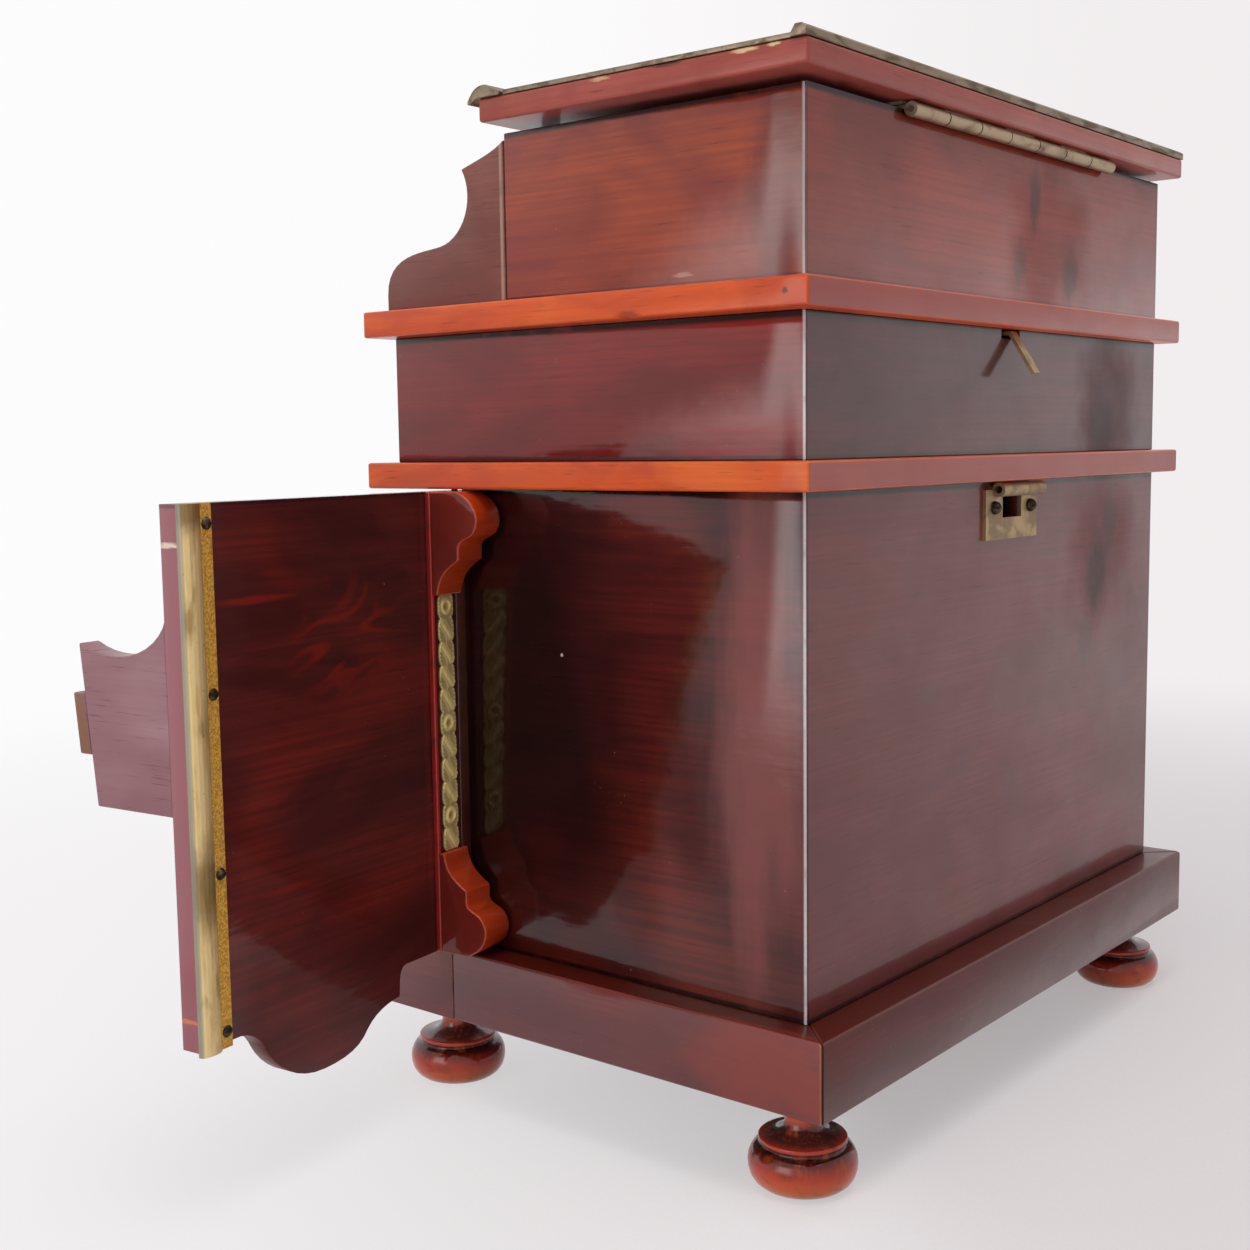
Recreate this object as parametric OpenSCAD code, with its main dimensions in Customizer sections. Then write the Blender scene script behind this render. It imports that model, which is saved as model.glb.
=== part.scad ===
// Musical cabinet: a small mahogany-stained cupboard with a pair of racked doors, a drawer tier,
// a lidded top box between scroll wings, and an 18-note cylinder movement behind the back board.
// Frame: origin on the floor under the cabinet, +Z up, +X to the right seen from the doors, -Y is the front.

/* [Cabinet] */
// Width over the case sides
case_w = 168.8; // [150:0.2:200]
// Depth of the lower case, from its front edge to the back face
case_d = 90.6; // [88:0.2:100]
// How far the drawer tier stands out in front of the lower case
tier_out = 19.9; // [18.4:0.1:28]
// How far the top box is set back from the lower case's front
upper_in = 15; // [8:0.2:23]
// Thickness of the case boards
wall_t = 5; // [3.5:0.1:7]
// Height of the lower case
lower_h = 103.6; // [95:0.2:130]
// Height of the drawer tier
tier_h = 28; // [27.5:0.5:40]
// Height of the top box
upper_h = 35.3; // [33:0.1:60]
// Thickness of the two belt boards
belt_t = 5.8; // [5:0.1:9]
// Overhang of the belt boards at the sides
belt_side_over = 6.1; // [4:0.1:8]
// Overhang of the belt boards at the back
belt_back_over = 4.4; // [3.5:0.1:7]
// Overhang of the belt boards past the tier front
belt_front_over = 4; // [2:0.1:8]

/* [Plinth and feet] */
// Height of the plinth boards
plinth_h = 16.4; // [12:0.2:24]
// Thickness of the plinth boards
plinth_t = 10; // [8:0.2:12]
// Overhang of the plinth at the sides
plinth_side_over = 6.75; // [5:0.25:8]
// Overhang of the plinth at the back
plinth_back_over = 7.7; // [5:0.1:10]
// Height of a bun foot
foot_h = 19; // [16:0.5:26]
// Greatest radius of a bun foot
foot_r = 11.35; // [9:0.05:12]
// Distance of a foot's axis from the plinth's outer faces
foot_inset = 12.6; // [12.2:0.1:16]

/* [Lid] */
// Thickness of the lid board
lid_t = 4.8; // [4:0.1:8]
// Overhang of the lid at the sides
lid_side_over = 5.8; // [3:0.1:8]
// Overhang of the lid at the back
lid_back_over = 4.2; // [3.8:0.1:7]
// Overhang of the lid at the front
lid_front_over = 1.7; // [1:0.1:4]
// Height of the brass edge strips on the lid
lid_strip_h = 2.2; // [1:0.1:3]
// Width of the brass edge strips on the lid
lid_strip_w = 3.5; // [2:0.1:6]
// Depth of the brass ogee strip along the lid's front
lid_ogee_w = 9; // [6:0.5:14]

/* [Lid hinge] */
// Length of the hinge
hinge_w = 98; // [60:1:120]
// Number of knuckles
hinge_knuckles = 7; // [5:2:9]
// Radius of the knuckles
knuckle_r = 1.5; // [1.3:0.05:1.7]
// Radius of the hinge pin
hinge_pin_r = 0.6; // [0.5:0.05:0.8]
// Thickness of a leaf
leaf_t = 0.65; // [0.5:0.05:0.65]

/* [Doors] */
// Thickness of a door
door_t = 4.2; // [3.8:0.1:5]
// Gap between a closed door and the middle of the front
door_mid_gap = 0.5; // [0.4:0.1:1.5]
// Angle of the doors at rest, opened a little past straight out
door_open = 186.5; // [150:0.5:186.5]
// Radius of the door's pivot pins
door_pin_r = 0.7; // [0.5:0.05:0.8]
// Lowest point of the scalloped apron below the lower case
apron_drop = 14.4; // [8:0.2:15.5]
// Width of the pilaster and of its corbels
pilaster_w = 8.6; // [6:0.1:10]
// Thickness of the pilaster
pilaster_t = 1.4; // [1:0.1:2.5]
// Length of a corbel
corbel_l = 22.6; // [18:0.2:30]
// Projection of a corbel from the door's face
corbel_out = 14; // [11:0.1:14]
// Width of the embossed brass strip
emboss_w = 5.2; // [4:0.1:6]
// Width of the brass astragal strip
astragal_w = 8.1; // [6:0.1:12]

/* [Door racks] */
// Depth of a rack bracket
rack_depth = 24.2; // [18:0.1:26]
// Thickness of the rack boards
rack_t = 5; // [3:0.1:6]
// Height of the rack's underside above the lower case's foot
rack_z = 44.6; // [38:0.2:52]
// Height of the rack's guard bar
guard_h = 12; // [8:0.5:16]
// Thickness of the rack's guard bar
guard_t = 3.3; // [2:0.1:4]

/* [Drawer] */
// Running gap round the drawer
drawer_gap = 0.4; // [0.3:0.05:0.8]
// Thickness of the drawer's box boards
drawer_t = 3; // [2:0.1:4]

/* [Movement] */
// Depth of the winding arbor below the lower belt
arbor_drop = 6; // [5.8:0.1:6.4]
// Radius of the pinned cylinder
cylinder_r = 6.3; // [5.5:0.05:6.4]
// Length of the pinned cylinder
cylinder_l = 17; // [14:0.5:17]
// Number of comb teeth
comb_teeth = 18; // [12:1:22]
// Outer radius of the spring barrel
barrel_r = 11.5; // [11.5:0.05:12]
// Thickness of the bedplate
bedplate_t = 2; // [1.6:0.1:2.4]

/* [Hidden] */
$fn = 64;

// Finishes
dark_wood = "#5a2328";
red_wood = "#8a3226";
belt_wood = "#c2502e";
aged_brass = "#b8903c";
steel = "#8c8c8a";

// Clearances
run_gap = 0.05;      // radial play of a pin, screw or shaft in its bore
glue_gap = 0.02;     // between boards that meet face to face
door_gap = 0.4;      // round a closed door
pass_gap = 0.3;      // between other pieces that move past each other
cut = 1;             // how far a cutting tool runs past a face

// Levels
half_w = case_w / 2;
inner_w = half_w - wall_t;
back_y = case_d / 2 + 12.2;    // the origin lies under the middle of the whole, doors open
lower_front_y = back_y - case_d;
tier_front_y = lower_front_y - tier_out;
upper_front_y = lower_front_y + upper_in;
plinth_z = foot_h;
lower_z = plinth_z + plinth_h;
lower_belt_z = lower_z + lower_h;
tier_z = lower_belt_z + belt_t;
upper_belt_z = tier_z + tier_h;
arbor_z = lower_belt_z - arbor_drop;
upper_z = upper_belt_z + belt_t;
upper_top_z = upper_z + upper_h;
lid_gap = 1.6;       // room for the two hinge leaves between the top box and the lid
lid_z = upper_top_z + lid_gap;
lid_top_z = lid_z + lid_t;
back_in_y = back_y - wall_t;

belt_x = half_w + belt_side_over;
belt_back_y = back_y + belt_back_over;
belt_front_y = tier_front_y - belt_front_over;
plinth_x = half_w + plinth_side_over;
plinth_back_y = back_y + plinth_back_over;
plinth_front_y = belt_front_y - 0.1;
foot_x = plinth_x - foot_inset;
block_x = plinth_x - plinth_t - glue_gap;
block_w = 11;        // side of the glue blocks over the rear feet

// Door pivot: inside the door's thickness, at the case's front corner
pivot_in = 1.2;      // from the door's outer face and from its hinge edge
pivot_x = half_w - pivot_in;
pivot_y = lower_front_y - door_gap - (door_t - pivot_in);
door_len = pivot_x - door_mid_gap;     // pivot to free edge
door_top_z = lower_belt_z - door_gap;
door_foot_z = lower_z + door_gap;
toe_r = 22.2;        // the toe blocks end inside the circle that the apron sweeps
pin_seat = 2.5;      // depth of a pivot pin in the board that holds it
pin_in_door = 5;     // depth of a pivot pin in the door
pilaster_s = 3.5;    // pivot to the near side of the pilaster
corbel_top_z = door_top_z;
corbel_foot_z = door_foot_z;
apron_low_z = lower_z - apron_drop;
apron_end_s = 72;    // stations of the apron's profile, from the pivot
apron_tuck_s = 65.5;
apron_low_s = 49;
apron_step_s = 35.5;
apron_heel_s = 25;
rack_near_s = 14;
rack_lip = 31.8;     // height of a rack bracket at its front edge
rack_lean = 3.3;     // how far the bracket's front edge leans out over that height
guard_up = 10;       // foot of the guard bar above the brackets' underside

// Movement layout: the bedplate stands upright behind the back board
batten_t = 3;
bed_back_y = back_in_y - batten_t;
bed_y = bed_back_y - bedplate_t;
bed_w = 25;          // half width of the bedplate
bed_low_z = arbor_z - 13;
bed_h = 51;
bed_top_z = bed_low_z + bed_h;
partition_t = 3;
partition_y = back_in_y - 35;
cyl_y = bed_y - 11;                     // axis of the cylinder
mesh_r = 10.75;                         // mean radius of the barrel's crown teeth
crown_teeth = 48;
drive_teeth = 12;
drive_r = mesh_r * drive_teeth / crown_teeth;
crown_h = 1.5;
crown_y = cyl_y + drive_r;              // plane where crown teeth and pinion roll together
barrel_back_y = bed_y - 0.4;
crown_face_w = 1.5;
drive_z = arbor_z + mesh_r - crown_face_w / 2;
bridge_t = 1.5;
bridge_w = 5;        // half width of a bearing bridge
low_bridge_z = arbor_z + 13;
cyl_z = low_bridge_z + 3;
wheel_z = cyl_z + 17.8;
wheel_t = 1.2;
top_bridge_z = wheel_z + 2.4;
arbor_r = 1.2;
wheel_teeth = 40;
wheel_r = 8.8;
gov_teeth = 10;
gov_pinion_r = wheel_r * gov_teeth / wheel_teeth;
gov_x = -(wheel_r + gov_pinion_r);
worm_teeth = 20;
worm_wheel_r = 3.5;
worm_wheel_t = 0.8;
worm_wheel_z = cyl_z + 9;
worm_pitch_r = 1.15;
worm_lead = 2 * PI * worm_wheel_r / worm_teeth * 2;
worm_l = 6;
worm_out_r = 1.55;
worm_in_r = 0.75;
fan_x = gov_x - worm_wheel_r - worm_pitch_r;
fan_z = worm_wheel_z + worm_wheel_t / 2;
fan_r = 4.3;
fan_l = 4;
fan_y = bed_y - 1.5 - fan_l;
gov_low_z = cyl_z + 2.5;
gov_top_z = top_bridge_z;
lever_w = 3;
lever_t = 0.8;
lever_y = bed_back_y + pass_gap;
lever_pivot_z = arbor_z + 19;
lever_out_z = upper_belt_z - 1.4;
lever_tip_y = back_y + 6.2;
lever_tip_z = lever_out_z - 9;
screw_r = 1.2;
small_screw_r = 0.8;
screw_l = 4;         // depth of the screw holes in the boards
comb_tip_x = cylinder_r + 0.8;
comb_root_x = 14.5;
comb_end_x = 21.5;
comb_t = 1.2;

// Keyhole plate
plate_w = 25.6;
plate_low_z = lower_belt_z - 13.2;
plate_h = 12.8;
plate_t = 0.8;
curl_r = 1.6;
curl_z = lower_belt_z - 0.4 - curl_r;
hole_w = 9.4;
hole_low_z = arbor_z - 2.4;
hole_top_z = curl_z - curl_r;
plate_screw_x = 8.9;

// Hinge geometry
hinge_y = back_y + pass_gap + knuckle_r;
hinge_z = lid_z - pass_gap - knuckle_r;
knuckle_w = hinge_w / hinge_knuckles;

// ---------- helpers ----------
function arc(c, r, a0, a1, n) = [for (i = [0 : n]) let (a = a0 + (a1 - a0) * i / n) c + r * [cos(a), sin(a)]];
function bezier(p, n) = [for (i = [0 : n]) let (t = i / n, s = 1 - t)
  s * s * s * p[0] + 3 * s * s * t * p[1] + 3 * s * t * t * p[2] + t * t * t * p[3]];
function mid(a, b) = (a + b) / 2;

module box(lo, hi) translate(lo) cube(hi - lo);

module both_sides() {
  children();
  mirror([1, 0, 0]) children();
}

// Axis along Y, from y0 towards +Y
module rod_y(r, x, z, y0, y1) translate([x, y0, z]) rotate([-90, 0, 0]) cylinder(r = r, h = y1 - y0);

module rod_z(r, x, y, z0, z1) translate([x, y, z0]) cylinder(r = r, h = z1 - z0);

module rod_x(r, y, z, x0, x1) translate([x0, y, z]) rotate([0, 90, 0]) cylinder(r = r, h = x1 - x0);

// A plate whose outline is given in (y, z), between two x
module side_plate(points, x0, x1)
  translate([x0, 0, 0]) rotate([90, 0, 90]) linear_extrude(x1 - x0) polygon(points);

// Side board of a case, mitred at the back, standing between two levels
module side_board(front_y, z0, z1)
  translate([0, 0, z0]) linear_extrude(z1 - z0)
    polygon([[half_w, front_y], [half_w, back_y], [inner_w, back_in_y], [inner_w, front_y]]);

// Back board of a case, mitred at both ends
module back_board(z0, z1)
  translate([0, 0, z0]) linear_extrude(z1 - z0)
    polygon([[-half_w, back_y], [half_w, back_y], [inner_w, back_in_y], [-inner_w, back_in_y]]);

// Spur wheel outline: trapezoid teeth with backlash, a tooth centred on +X
module gear_outline(teeth, r, depth) {
  root = r - depth * 0.6;
  tip = r + depth * 0.4;
  step = 360 / teeth;
  polygon([for (i = [0 : teeth - 1]) each [
    root * [cos((i - 0.30) * step), sin((i - 0.30) * step)],
    tip * [cos((i - 0.10) * step), sin((i - 0.10) * step)],
    tip * [cos((i + 0.10) * step), sin((i + 0.10) * step)],
    root * [cos((i + 0.30) * step), sin((i + 0.30) * step)]]]);
}

dome_turn = 70;      // angle that the profile of a round head runs through

// Round-headed screw or pin along +Y: head outwards, shank inwards, face at y
module headed_pin(x, z, y, r, head_r, shank) {
  rim = 0.2;
  rod_y(r, x, z, y - shank, y + 0.1);
  translate([x, y, z]) rotate([-90, 0, 0]) rotate_extrude()
    polygon(concat([[0, 0], [head_r, 0]], arc([0, rim], head_r, 0, dome_turn, 5), [[0, rim + head_r * 0.94]]));
}

// ---------- plinth and feet ----------
module bun_foot() {
  groove_z = foot_h * 0.45;
  ridge_r = foot_r * 0.79;
  neck_r = foot_r * 0.31;
  collar_r = foot_r * 0.76;
  rotate_extrude() polygon(concat(
    [[0, 0], [foot_r * 0.6, 0]],
    bezier([[foot_r * 0.6, 0], [foot_r * 0.98, 0.4], [foot_r * 1.12, foot_h * 0.33], [foot_r * 0.86, groove_z]], 14),
    [[foot_r * 0.8, groove_z], [ridge_r * 0.96, groove_z + 0.7], [ridge_r, groove_z + 1], [ridge_r, groove_z + 1.8]],
    bezier([[ridge_r - 0.3, groove_z + 2], [ridge_r * 0.6, groove_z + 2.2],
            [neck_r + 0.8, groove_z + 3.2], [neck_r, foot_h * 0.75]], 10),
    bezier([[neck_r, foot_h * 0.78], [neck_r + 1.2, foot_h * 0.84], [collar_r - 1.5, foot_h * 0.87],
            [collar_r, foot_h * 0.93]], 8),
    [[collar_r, foot_h], [0, foot_h]]));
}

module bun_feet() color(red_wood)
  for (sx = [-1, 1], y = [plinth_back_y - foot_inset, plinth_front_y + foot_inset])
    translate([sx * foot_x, y, 0]) bun_foot();

module plinth_sides() color(dark_wood) both_sides()
  translate([0, 0, plinth_z]) linear_extrude(plinth_h)
    polygon([[plinth_x, lower_front_y], [plinth_x, plinth_back_y],
             [plinth_x - plinth_t, plinth_back_y - plinth_t], [plinth_x - plinth_t, lower_front_y]]);

module plinth_back() color(dark_wood)
  translate([0, 0, plinth_z]) linear_extrude(plinth_h)
    polygon([[-plinth_x, plinth_back_y], [plinth_x, plinth_back_y],
             [plinth_x - plinth_t, plinth_back_y - plinth_t], [-plinth_x + plinth_t, plinth_back_y - plinth_t]]);

// Blocks over the four feet, and the rail set back behind the door aprons
module foot_blocks() color(dark_wood) {
  both_sides() difference() {
    intersection() {
      box([pivot_x - toe_r - cut, plinth_front_y, plinth_z], [plinth_x, lower_front_y - glue_gap, lower_z]);
      rod_z(toe_r, pivot_x, pivot_y, plinth_z - cut, lower_z + cut);
    }
    rod_z(door_pin_r + run_gap, pivot_x, pivot_y, lower_z - pin_seat, lower_z + cut);
  }
  box([-block_x, lower_front_y, plinth_z], [block_x, lower_front_y + wall_t, lower_z]);
  both_sides()
    box([block_x - block_w, plinth_back_y - plinth_t - glue_gap - block_w, plinth_z],
        [block_x, plinth_back_y - plinth_t - glue_gap, lower_z]);
}

// ---------- lower case ----------
module bottom_board() color(dark_wood)
  box([-inner_w + glue_gap, lower_front_y, lower_z], [inner_w - glue_gap, back_in_y - glue_gap, lower_z + wall_t]);

module lower_sides() color(dark_wood) both_sides() side_board(lower_front_y, lower_z, lower_belt_z);

module lower_back() color(dark_wood) difference() {
  back_board(lower_z, lower_belt_z);
  box([-hole_w / 2, back_in_y - cut, hole_low_z], [hole_w / 2, back_y + cut, hole_top_z]);
  for (sx = [-1, 1])
    rod_y(small_screw_r + run_gap, sx * plate_screw_x, arbor_z, back_y - screw_l, back_y + cut);
}

module movement_partition() color(red_wood)
  box([-inner_w + glue_gap, partition_y, lower_z + wall_t], [inner_w - glue_gap, partition_y + partition_t, upper_belt_z]);

module belt_board(z, front_y, back_over_y)
  box([-belt_x, front_y, z], [belt_x, back_over_y, z + belt_t]);

module lower_belt_board() color(belt_wood) difference() {
  belt_board(lower_belt_z, belt_front_y, belt_back_y);
  // way through for the movement and for the partition in front of it
  box([-bed_w - 2, partition_y - glue_gap, lower_belt_z - cut], [bed_w + 2, back_in_y, tier_z + cut]);
  box([-inner_w, partition_y - glue_gap, lower_belt_z - cut],
      [inner_w, partition_y + partition_t + glue_gap, tier_z + cut]);
  both_sides() rod_z(door_pin_r + run_gap, pivot_x, pivot_y, lower_belt_z - cut, lower_belt_z + pin_seat);
}

// ---------- drawer tier ----------
module tier_sides() color(dark_wood) both_sides() side_board(tier_front_y, tier_z, upper_belt_z);

module tier_back() color(dark_wood) difference() {
  back_board(tier_z, upper_belt_z);
  box([-4.4, back_in_y - cut, lever_out_z - 0.8], [4.4, back_y + cut, upper_belt_z + cut]);
}

module upper_belt_board() color(belt_wood) belt_board(upper_belt_z, belt_front_y, belt_back_y);

// ---------- top box ----------
module upper_sides() color(dark_wood) both_sides() side_board(upper_front_y, upper_z, upper_top_z);

module upper_back() color(dark_wood) difference() {
  back_board(upper_z, upper_top_z);
  for (i = [-1.5 : 1.5])
    rod_z(small_screw_r + run_gap, i * hinge_w / 4, back_y - wall_t / 2, upper_top_z - screw_l, upper_top_z + cut);
}

module upper_front() color(dark_wood)
  box([-inner_w + glue_gap, upper_front_y, upper_z], [inner_w - glue_gap, upper_front_y + wall_t, upper_top_z]);

module scroll_wings() color(dark_wood) both_sides() {
  root_y = upper_front_y - 0.3;
  bite = [upper_front_y - 21.6, upper_z + 23.7];
  bite_r = 10.3;
  bite_from = 33;
  bite_to = -80;
  nose_y = belt_front_y + 1.8;
  side_plate(concat(
    [[root_y, upper_z], [root_y, upper_top_z - 1.2]],
    bezier([[root_y, upper_top_z - 1.2], [root_y - 3, upper_top_z - 3.5],
            [root_y - 8, upper_top_z - 4.5], bite + bite_r * [cos(bite_from), sin(bite_from)]], 8),
    arc(bite, bite_r, bite_from, bite_to, 14),
    bezier([bite + bite_r * [cos(bite_to), sin(bite_to)], [bite[0] - 4, upper_z + 12.6],
            [nose_y, upper_z + 13.4], [nose_y, upper_z + 4]], 12),
    [[nose_y, upper_z]]), inner_w, half_w);
}

// ---------- lid ----------
lid_x = half_w + lid_side_over;
lid_back_y = back_y + lid_back_over;
lid_front_y = upper_front_y - lid_front_over;

module lid_board() color(red_wood)
  box([-lid_x, lid_front_y, lid_z], [lid_x, lid_back_y, lid_top_z]);

// Back strip and the two thinner side strips
module lid_edge_strips() color(aged_brass) {
  side_plate([[lid_back_y - lid_strip_w, lid_top_z], [lid_back_y, lid_top_z],
              [lid_back_y, lid_top_z + lid_strip_h * 0.7], [lid_back_y - lid_strip_w * 0.3, lid_top_z + lid_strip_h],
              [lid_back_y - lid_strip_w * 0.7, lid_top_z + lid_strip_h], [lid_back_y - lid_strip_w, lid_top_z + 0.6]],
             -lid_x - 0.6, lid_x + 0.6);
  both_sides()
    box([lid_x - lid_strip_w, lid_front_y + lid_ogee_w - 2, lid_top_z],
        [lid_x, lid_back_y - lid_strip_w - 0.1, lid_top_z + lid_strip_h * 0.45]);
}

module lid_ogee_strip() color(aged_brass) {
  back = lid_front_y + lid_ogee_w - 2.5;
  lip = lid_front_y - 2.5;
  rise = lid_strip_h + 0.4;
  side_plate(concat(
    [[back, lid_top_z], [back, lid_top_z + 0.8]],
    bezier([[back, lid_top_z + 0.8], [back - 2, lid_top_z + 0.9], [back - 2.5, lid_top_z + rise],
            [back - 4.5, lid_top_z + rise]], 6),
    bezier([[back - 4.5, lid_top_z + rise], [back - 7, lid_top_z + rise], [lip + 1, lid_top_z + 1.2],
            [lip, lid_top_z - 0.4]], 6),
    [[lip, lid_top_z - 1], [lip + 0.8, lid_top_z - 1], [lid_front_y - 0.1, lid_top_z]]), -lid_x - 0.6, lid_x + 0.6);
}

module lid_pads() color("#2a1c18") both_sides()
  rod_z(2, half_w - 12, upper_front_y + wall_t / 2, upper_top_z, lid_z - pass_gap);

// ---------- lid hinge ----------
// Knuckles whose index has the given parity, with a gap between neighbours
module knuckles(parity, tongue_z0, tongue_z1, tongue_y) difference() {
  for (i = [0 : hinge_knuckles - 1]) if (i % 2 == parity) {
    x0 = -hinge_w / 2 + i * knuckle_w + 0.1;
    x1 = x0 + knuckle_w - 0.2;
    rod_x(knuckle_r, hinge_y, hinge_z, x0, x1);
    box([x0, back_y - 0.3, tongue_z0], [x1, tongue_y, tongue_z1]);
  }
  rod_x(hinge_pin_r + run_gap, hinge_y, hinge_z, -hinge_w, hinge_w);
}

module leaf(z0) difference() {
  box([-hinge_w / 2, back_y - wall_t + 0.6, z0], [hinge_w / 2, back_y - 0.2, z0 + leaf_t]);
  for (i = [-1.5 : 1.5])
    rod_z(small_screw_r + run_gap, i * hinge_w / 4, back_y - wall_t / 2, z0 - cut, z0 + leaf_t + cut);
}

module hinge_fixed_leaf() color(aged_brass) {
  leaf(upper_top_z);
  knuckles(0, upper_top_z, upper_top_z + leaf_t, hinge_y - 0.6);
}

module hinge_moving_leaf() color(aged_brass) {
  leaf(lid_z - leaf_t);
  knuckles(1, lid_z - leaf_t, lid_z - 0.01, hinge_y);
}

module hinge_pin() color(steel) rod_x(hinge_pin_r, hinge_y, hinge_z, -hinge_w / 2 - 0.3, hinge_w / 2 + 0.3);

module hinge_moving_screws() color(aged_brass) for (i = [-1.5 : 1.5])
  rod_z(small_screw_r, i * hinge_w / 4, back_y - wall_t / 2, lid_z - leaf_t, lid_z);

// ---------- doors ----------
// A door is drawn closed in its own frame: s runs from the pivot to the free edge, out is the outer face.
// (s, out, z) becomes (pivot_x - s, pivot_y - out, z).
module place_right() translate([pivot_x, pivot_y, 0]) rotate([0, 0, door_open]) mirror([1, 0, 0]) children();
module place_left() mirror([1, 0, 0]) place_right() children();

out_face = -pivot_in;
in_face = door_t - pivot_in;

module door_panel() difference() {
  low = apron_low_z;
  edge_z = lower_z - 0.2;
  tuck_z = lower_z - apron_drop * 0.35;
  step_z = low + apron_drop * 0.3;
  heel_z = low + apron_drop * 0.57;
  heel = apron_heel_s - 0.2;
  translate([0, in_face, 0]) rotate([90, 0, 0]) linear_extrude(door_t) polygon(concat(
    [[-pivot_in, door_foot_z], [-pivot_in, door_top_z], [door_len, door_top_z], [door_len, edge_z]],
    bezier([[apron_end_s, edge_z], [apron_end_s - 3, edge_z - 0.2],
            [apron_tuck_s + 1, mid(edge_z, tuck_z)], [apron_tuck_s, tuck_z]], 6),
    bezier([[apron_tuck_s, tuck_z], [apron_tuck_s - 2.5, mid(tuck_z, low)],
            [apron_low_s + 8, low], [apron_low_s, low]], 8),
    bezier([[apron_low_s, low], [apron_low_s - 7, low], [apron_step_s + 2.5, mid(low, mid(low, step_z))],
            [apron_step_s, step_z]], 6),
    bezier([[apron_step_s, step_z], [apron_step_s - 2.5, mid(step_z, heel_z) + 0.6], [apron_heel_s + 4, heel_z - 0.2],
            [apron_heel_s, heel_z]], 6),
    bezier([[heel, lower_z - apron_drop * 0.24], [heel, lower_z - apron_drop * 0.08],
            [heel - 0.8, door_foot_z], [heel - 2.4, door_foot_z]], 6)));
  for (z = [door_foot_z - cut, door_top_z - pin_in_door])
    rod_z(door_pin_r + run_gap, 0, 0, z, z + pin_in_door + cut);
}

module pilaster()
  box([pilaster_s, out_face - pilaster_t, door_foot_z], [pilaster_s + pilaster_w, out_face, door_top_z]);

// Scrolled bracket: u runs from its broad end, outline in (out, u)
function corbel_outline() = let (base = pilaster_t, out = corbel_out, n = corbel_l) concat(
  [[base, 0], [out * 0.62, 0]],
  bezier([[out * 0.62, 0], [out * 0.95, n * 0.07], [out * 1.12, n * 0.25], [out * 0.93, n * 0.4]], 8),
  bezier([[out * 0.93, n * 0.4], [out * 0.86, n * 0.45], [out * 0.66, n * 0.46], [out * 0.64, n * 0.53]], 5),
  [[out * 0.64, n * 0.66]],
  bezier([[out * 0.6, n * 0.67], [out * 0.42, n * 0.74], [out * 0.24, n * 0.82], [out * 0.21, n]], 7),
  [[base, n]]);

module corbels() {
  for (top = [0, 1])
    translate([pilaster_s, out_face, top == 1 ? corbel_top_z : corbel_foot_z]) mirror([0, 0, top])
      rotate([90, 0, 90]) linear_extrude(pilaster_w) polygon([for (p = corbel_outline()) [-p[0], p[1]]]);
}

// Stamped brass strip between the corbels: a ribbon with rings and leaves raised on it
module embossed_strip() {
  z0 = corbel_foot_z + corbel_l + 0.1;
  z1 = corbel_top_z - corbel_l - 0.1;
  face = out_face - pilaster_t;
  middle = pilaster_s + pilaster_w / 2;
  pitch = (z1 - z0) / 5;
  box([middle - emboss_w / 2, face - 0.5, z0], [middle + emboss_w / 2, face, z1]);
  for (i = [0 : 4]) translate([middle, face - 0.5, z0 + (i + 0.5) * pitch]) rotate([90, 0, 0]) {
    difference() {
      cylinder(r = emboss_w * 0.42, h = 0.5);
      translate([0, 0, 0.2]) cylinder(r = emboss_w * 0.24, h = cut);
    }
    if (i < 4) translate([0, pitch / 2, 0]) linear_extrude(0.4)
      polygon([[0, -pitch * 0.24], [emboss_w * 0.34, 0], [0, pitch * 0.24], [-emboss_w * 0.34, 0]]);
  }
}

// Two scooped brackets and the shelf between them, on the door's inner face
module rack_boards(edge_s) {
  far_s = edge_s - rack_t;
  z = lower_z + rack_z;
  scoop_z = z + rack_lip - 2.4;
  shelf_z = z + 2;
  shelf_t = 3;
  outline = concat(
    [[0, z], [rack_depth - rack_lean, z], [rack_depth, z + rack_lip]],
    bezier([[rack_depth, z + rack_lip], [rack_depth - 4.7, scoop_z], [rack_depth - 10, scoop_z],
            [rack_depth - 14, scoop_z + 0.6]], 6),
    bezier([[rack_depth - 14, scoop_z + 0.6], [5, scoop_z + 1.7], [1, scoop_z + 4.6], [0, scoop_z + 8]], 6));
  for (s = [rack_near_s, far_s])
    translate([0, in_face + glue_gap, 0]) side_plate(outline, s, s + rack_t);
  box([rack_near_s + rack_t + glue_gap, in_face + glue_gap, shelf_z],
      [far_s - glue_gap, in_face + rack_depth - 4.5, shelf_z + shelf_t]);
}

// Bar across the front edges of the brackets; its ends show the sawn wood
module rack_guard(edge_s) {
  z = lower_z + rack_z + guard_up;
  lean = rack_lean / rack_lip;
  foot = in_face + rack_depth - rack_lean + guard_up * lean + 2 * glue_gap;
  head = foot + guard_h * lean;
  side_plate([[foot, z], [foot + guard_t, z], [head + guard_t, z + guard_h], [head, z + guard_h]],
             rack_near_s, edge_s);
}

right_edge_s = door_len;
left_edge_s = door_len - 4.6;   // set back, so that the left door opens first and closes last

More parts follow.
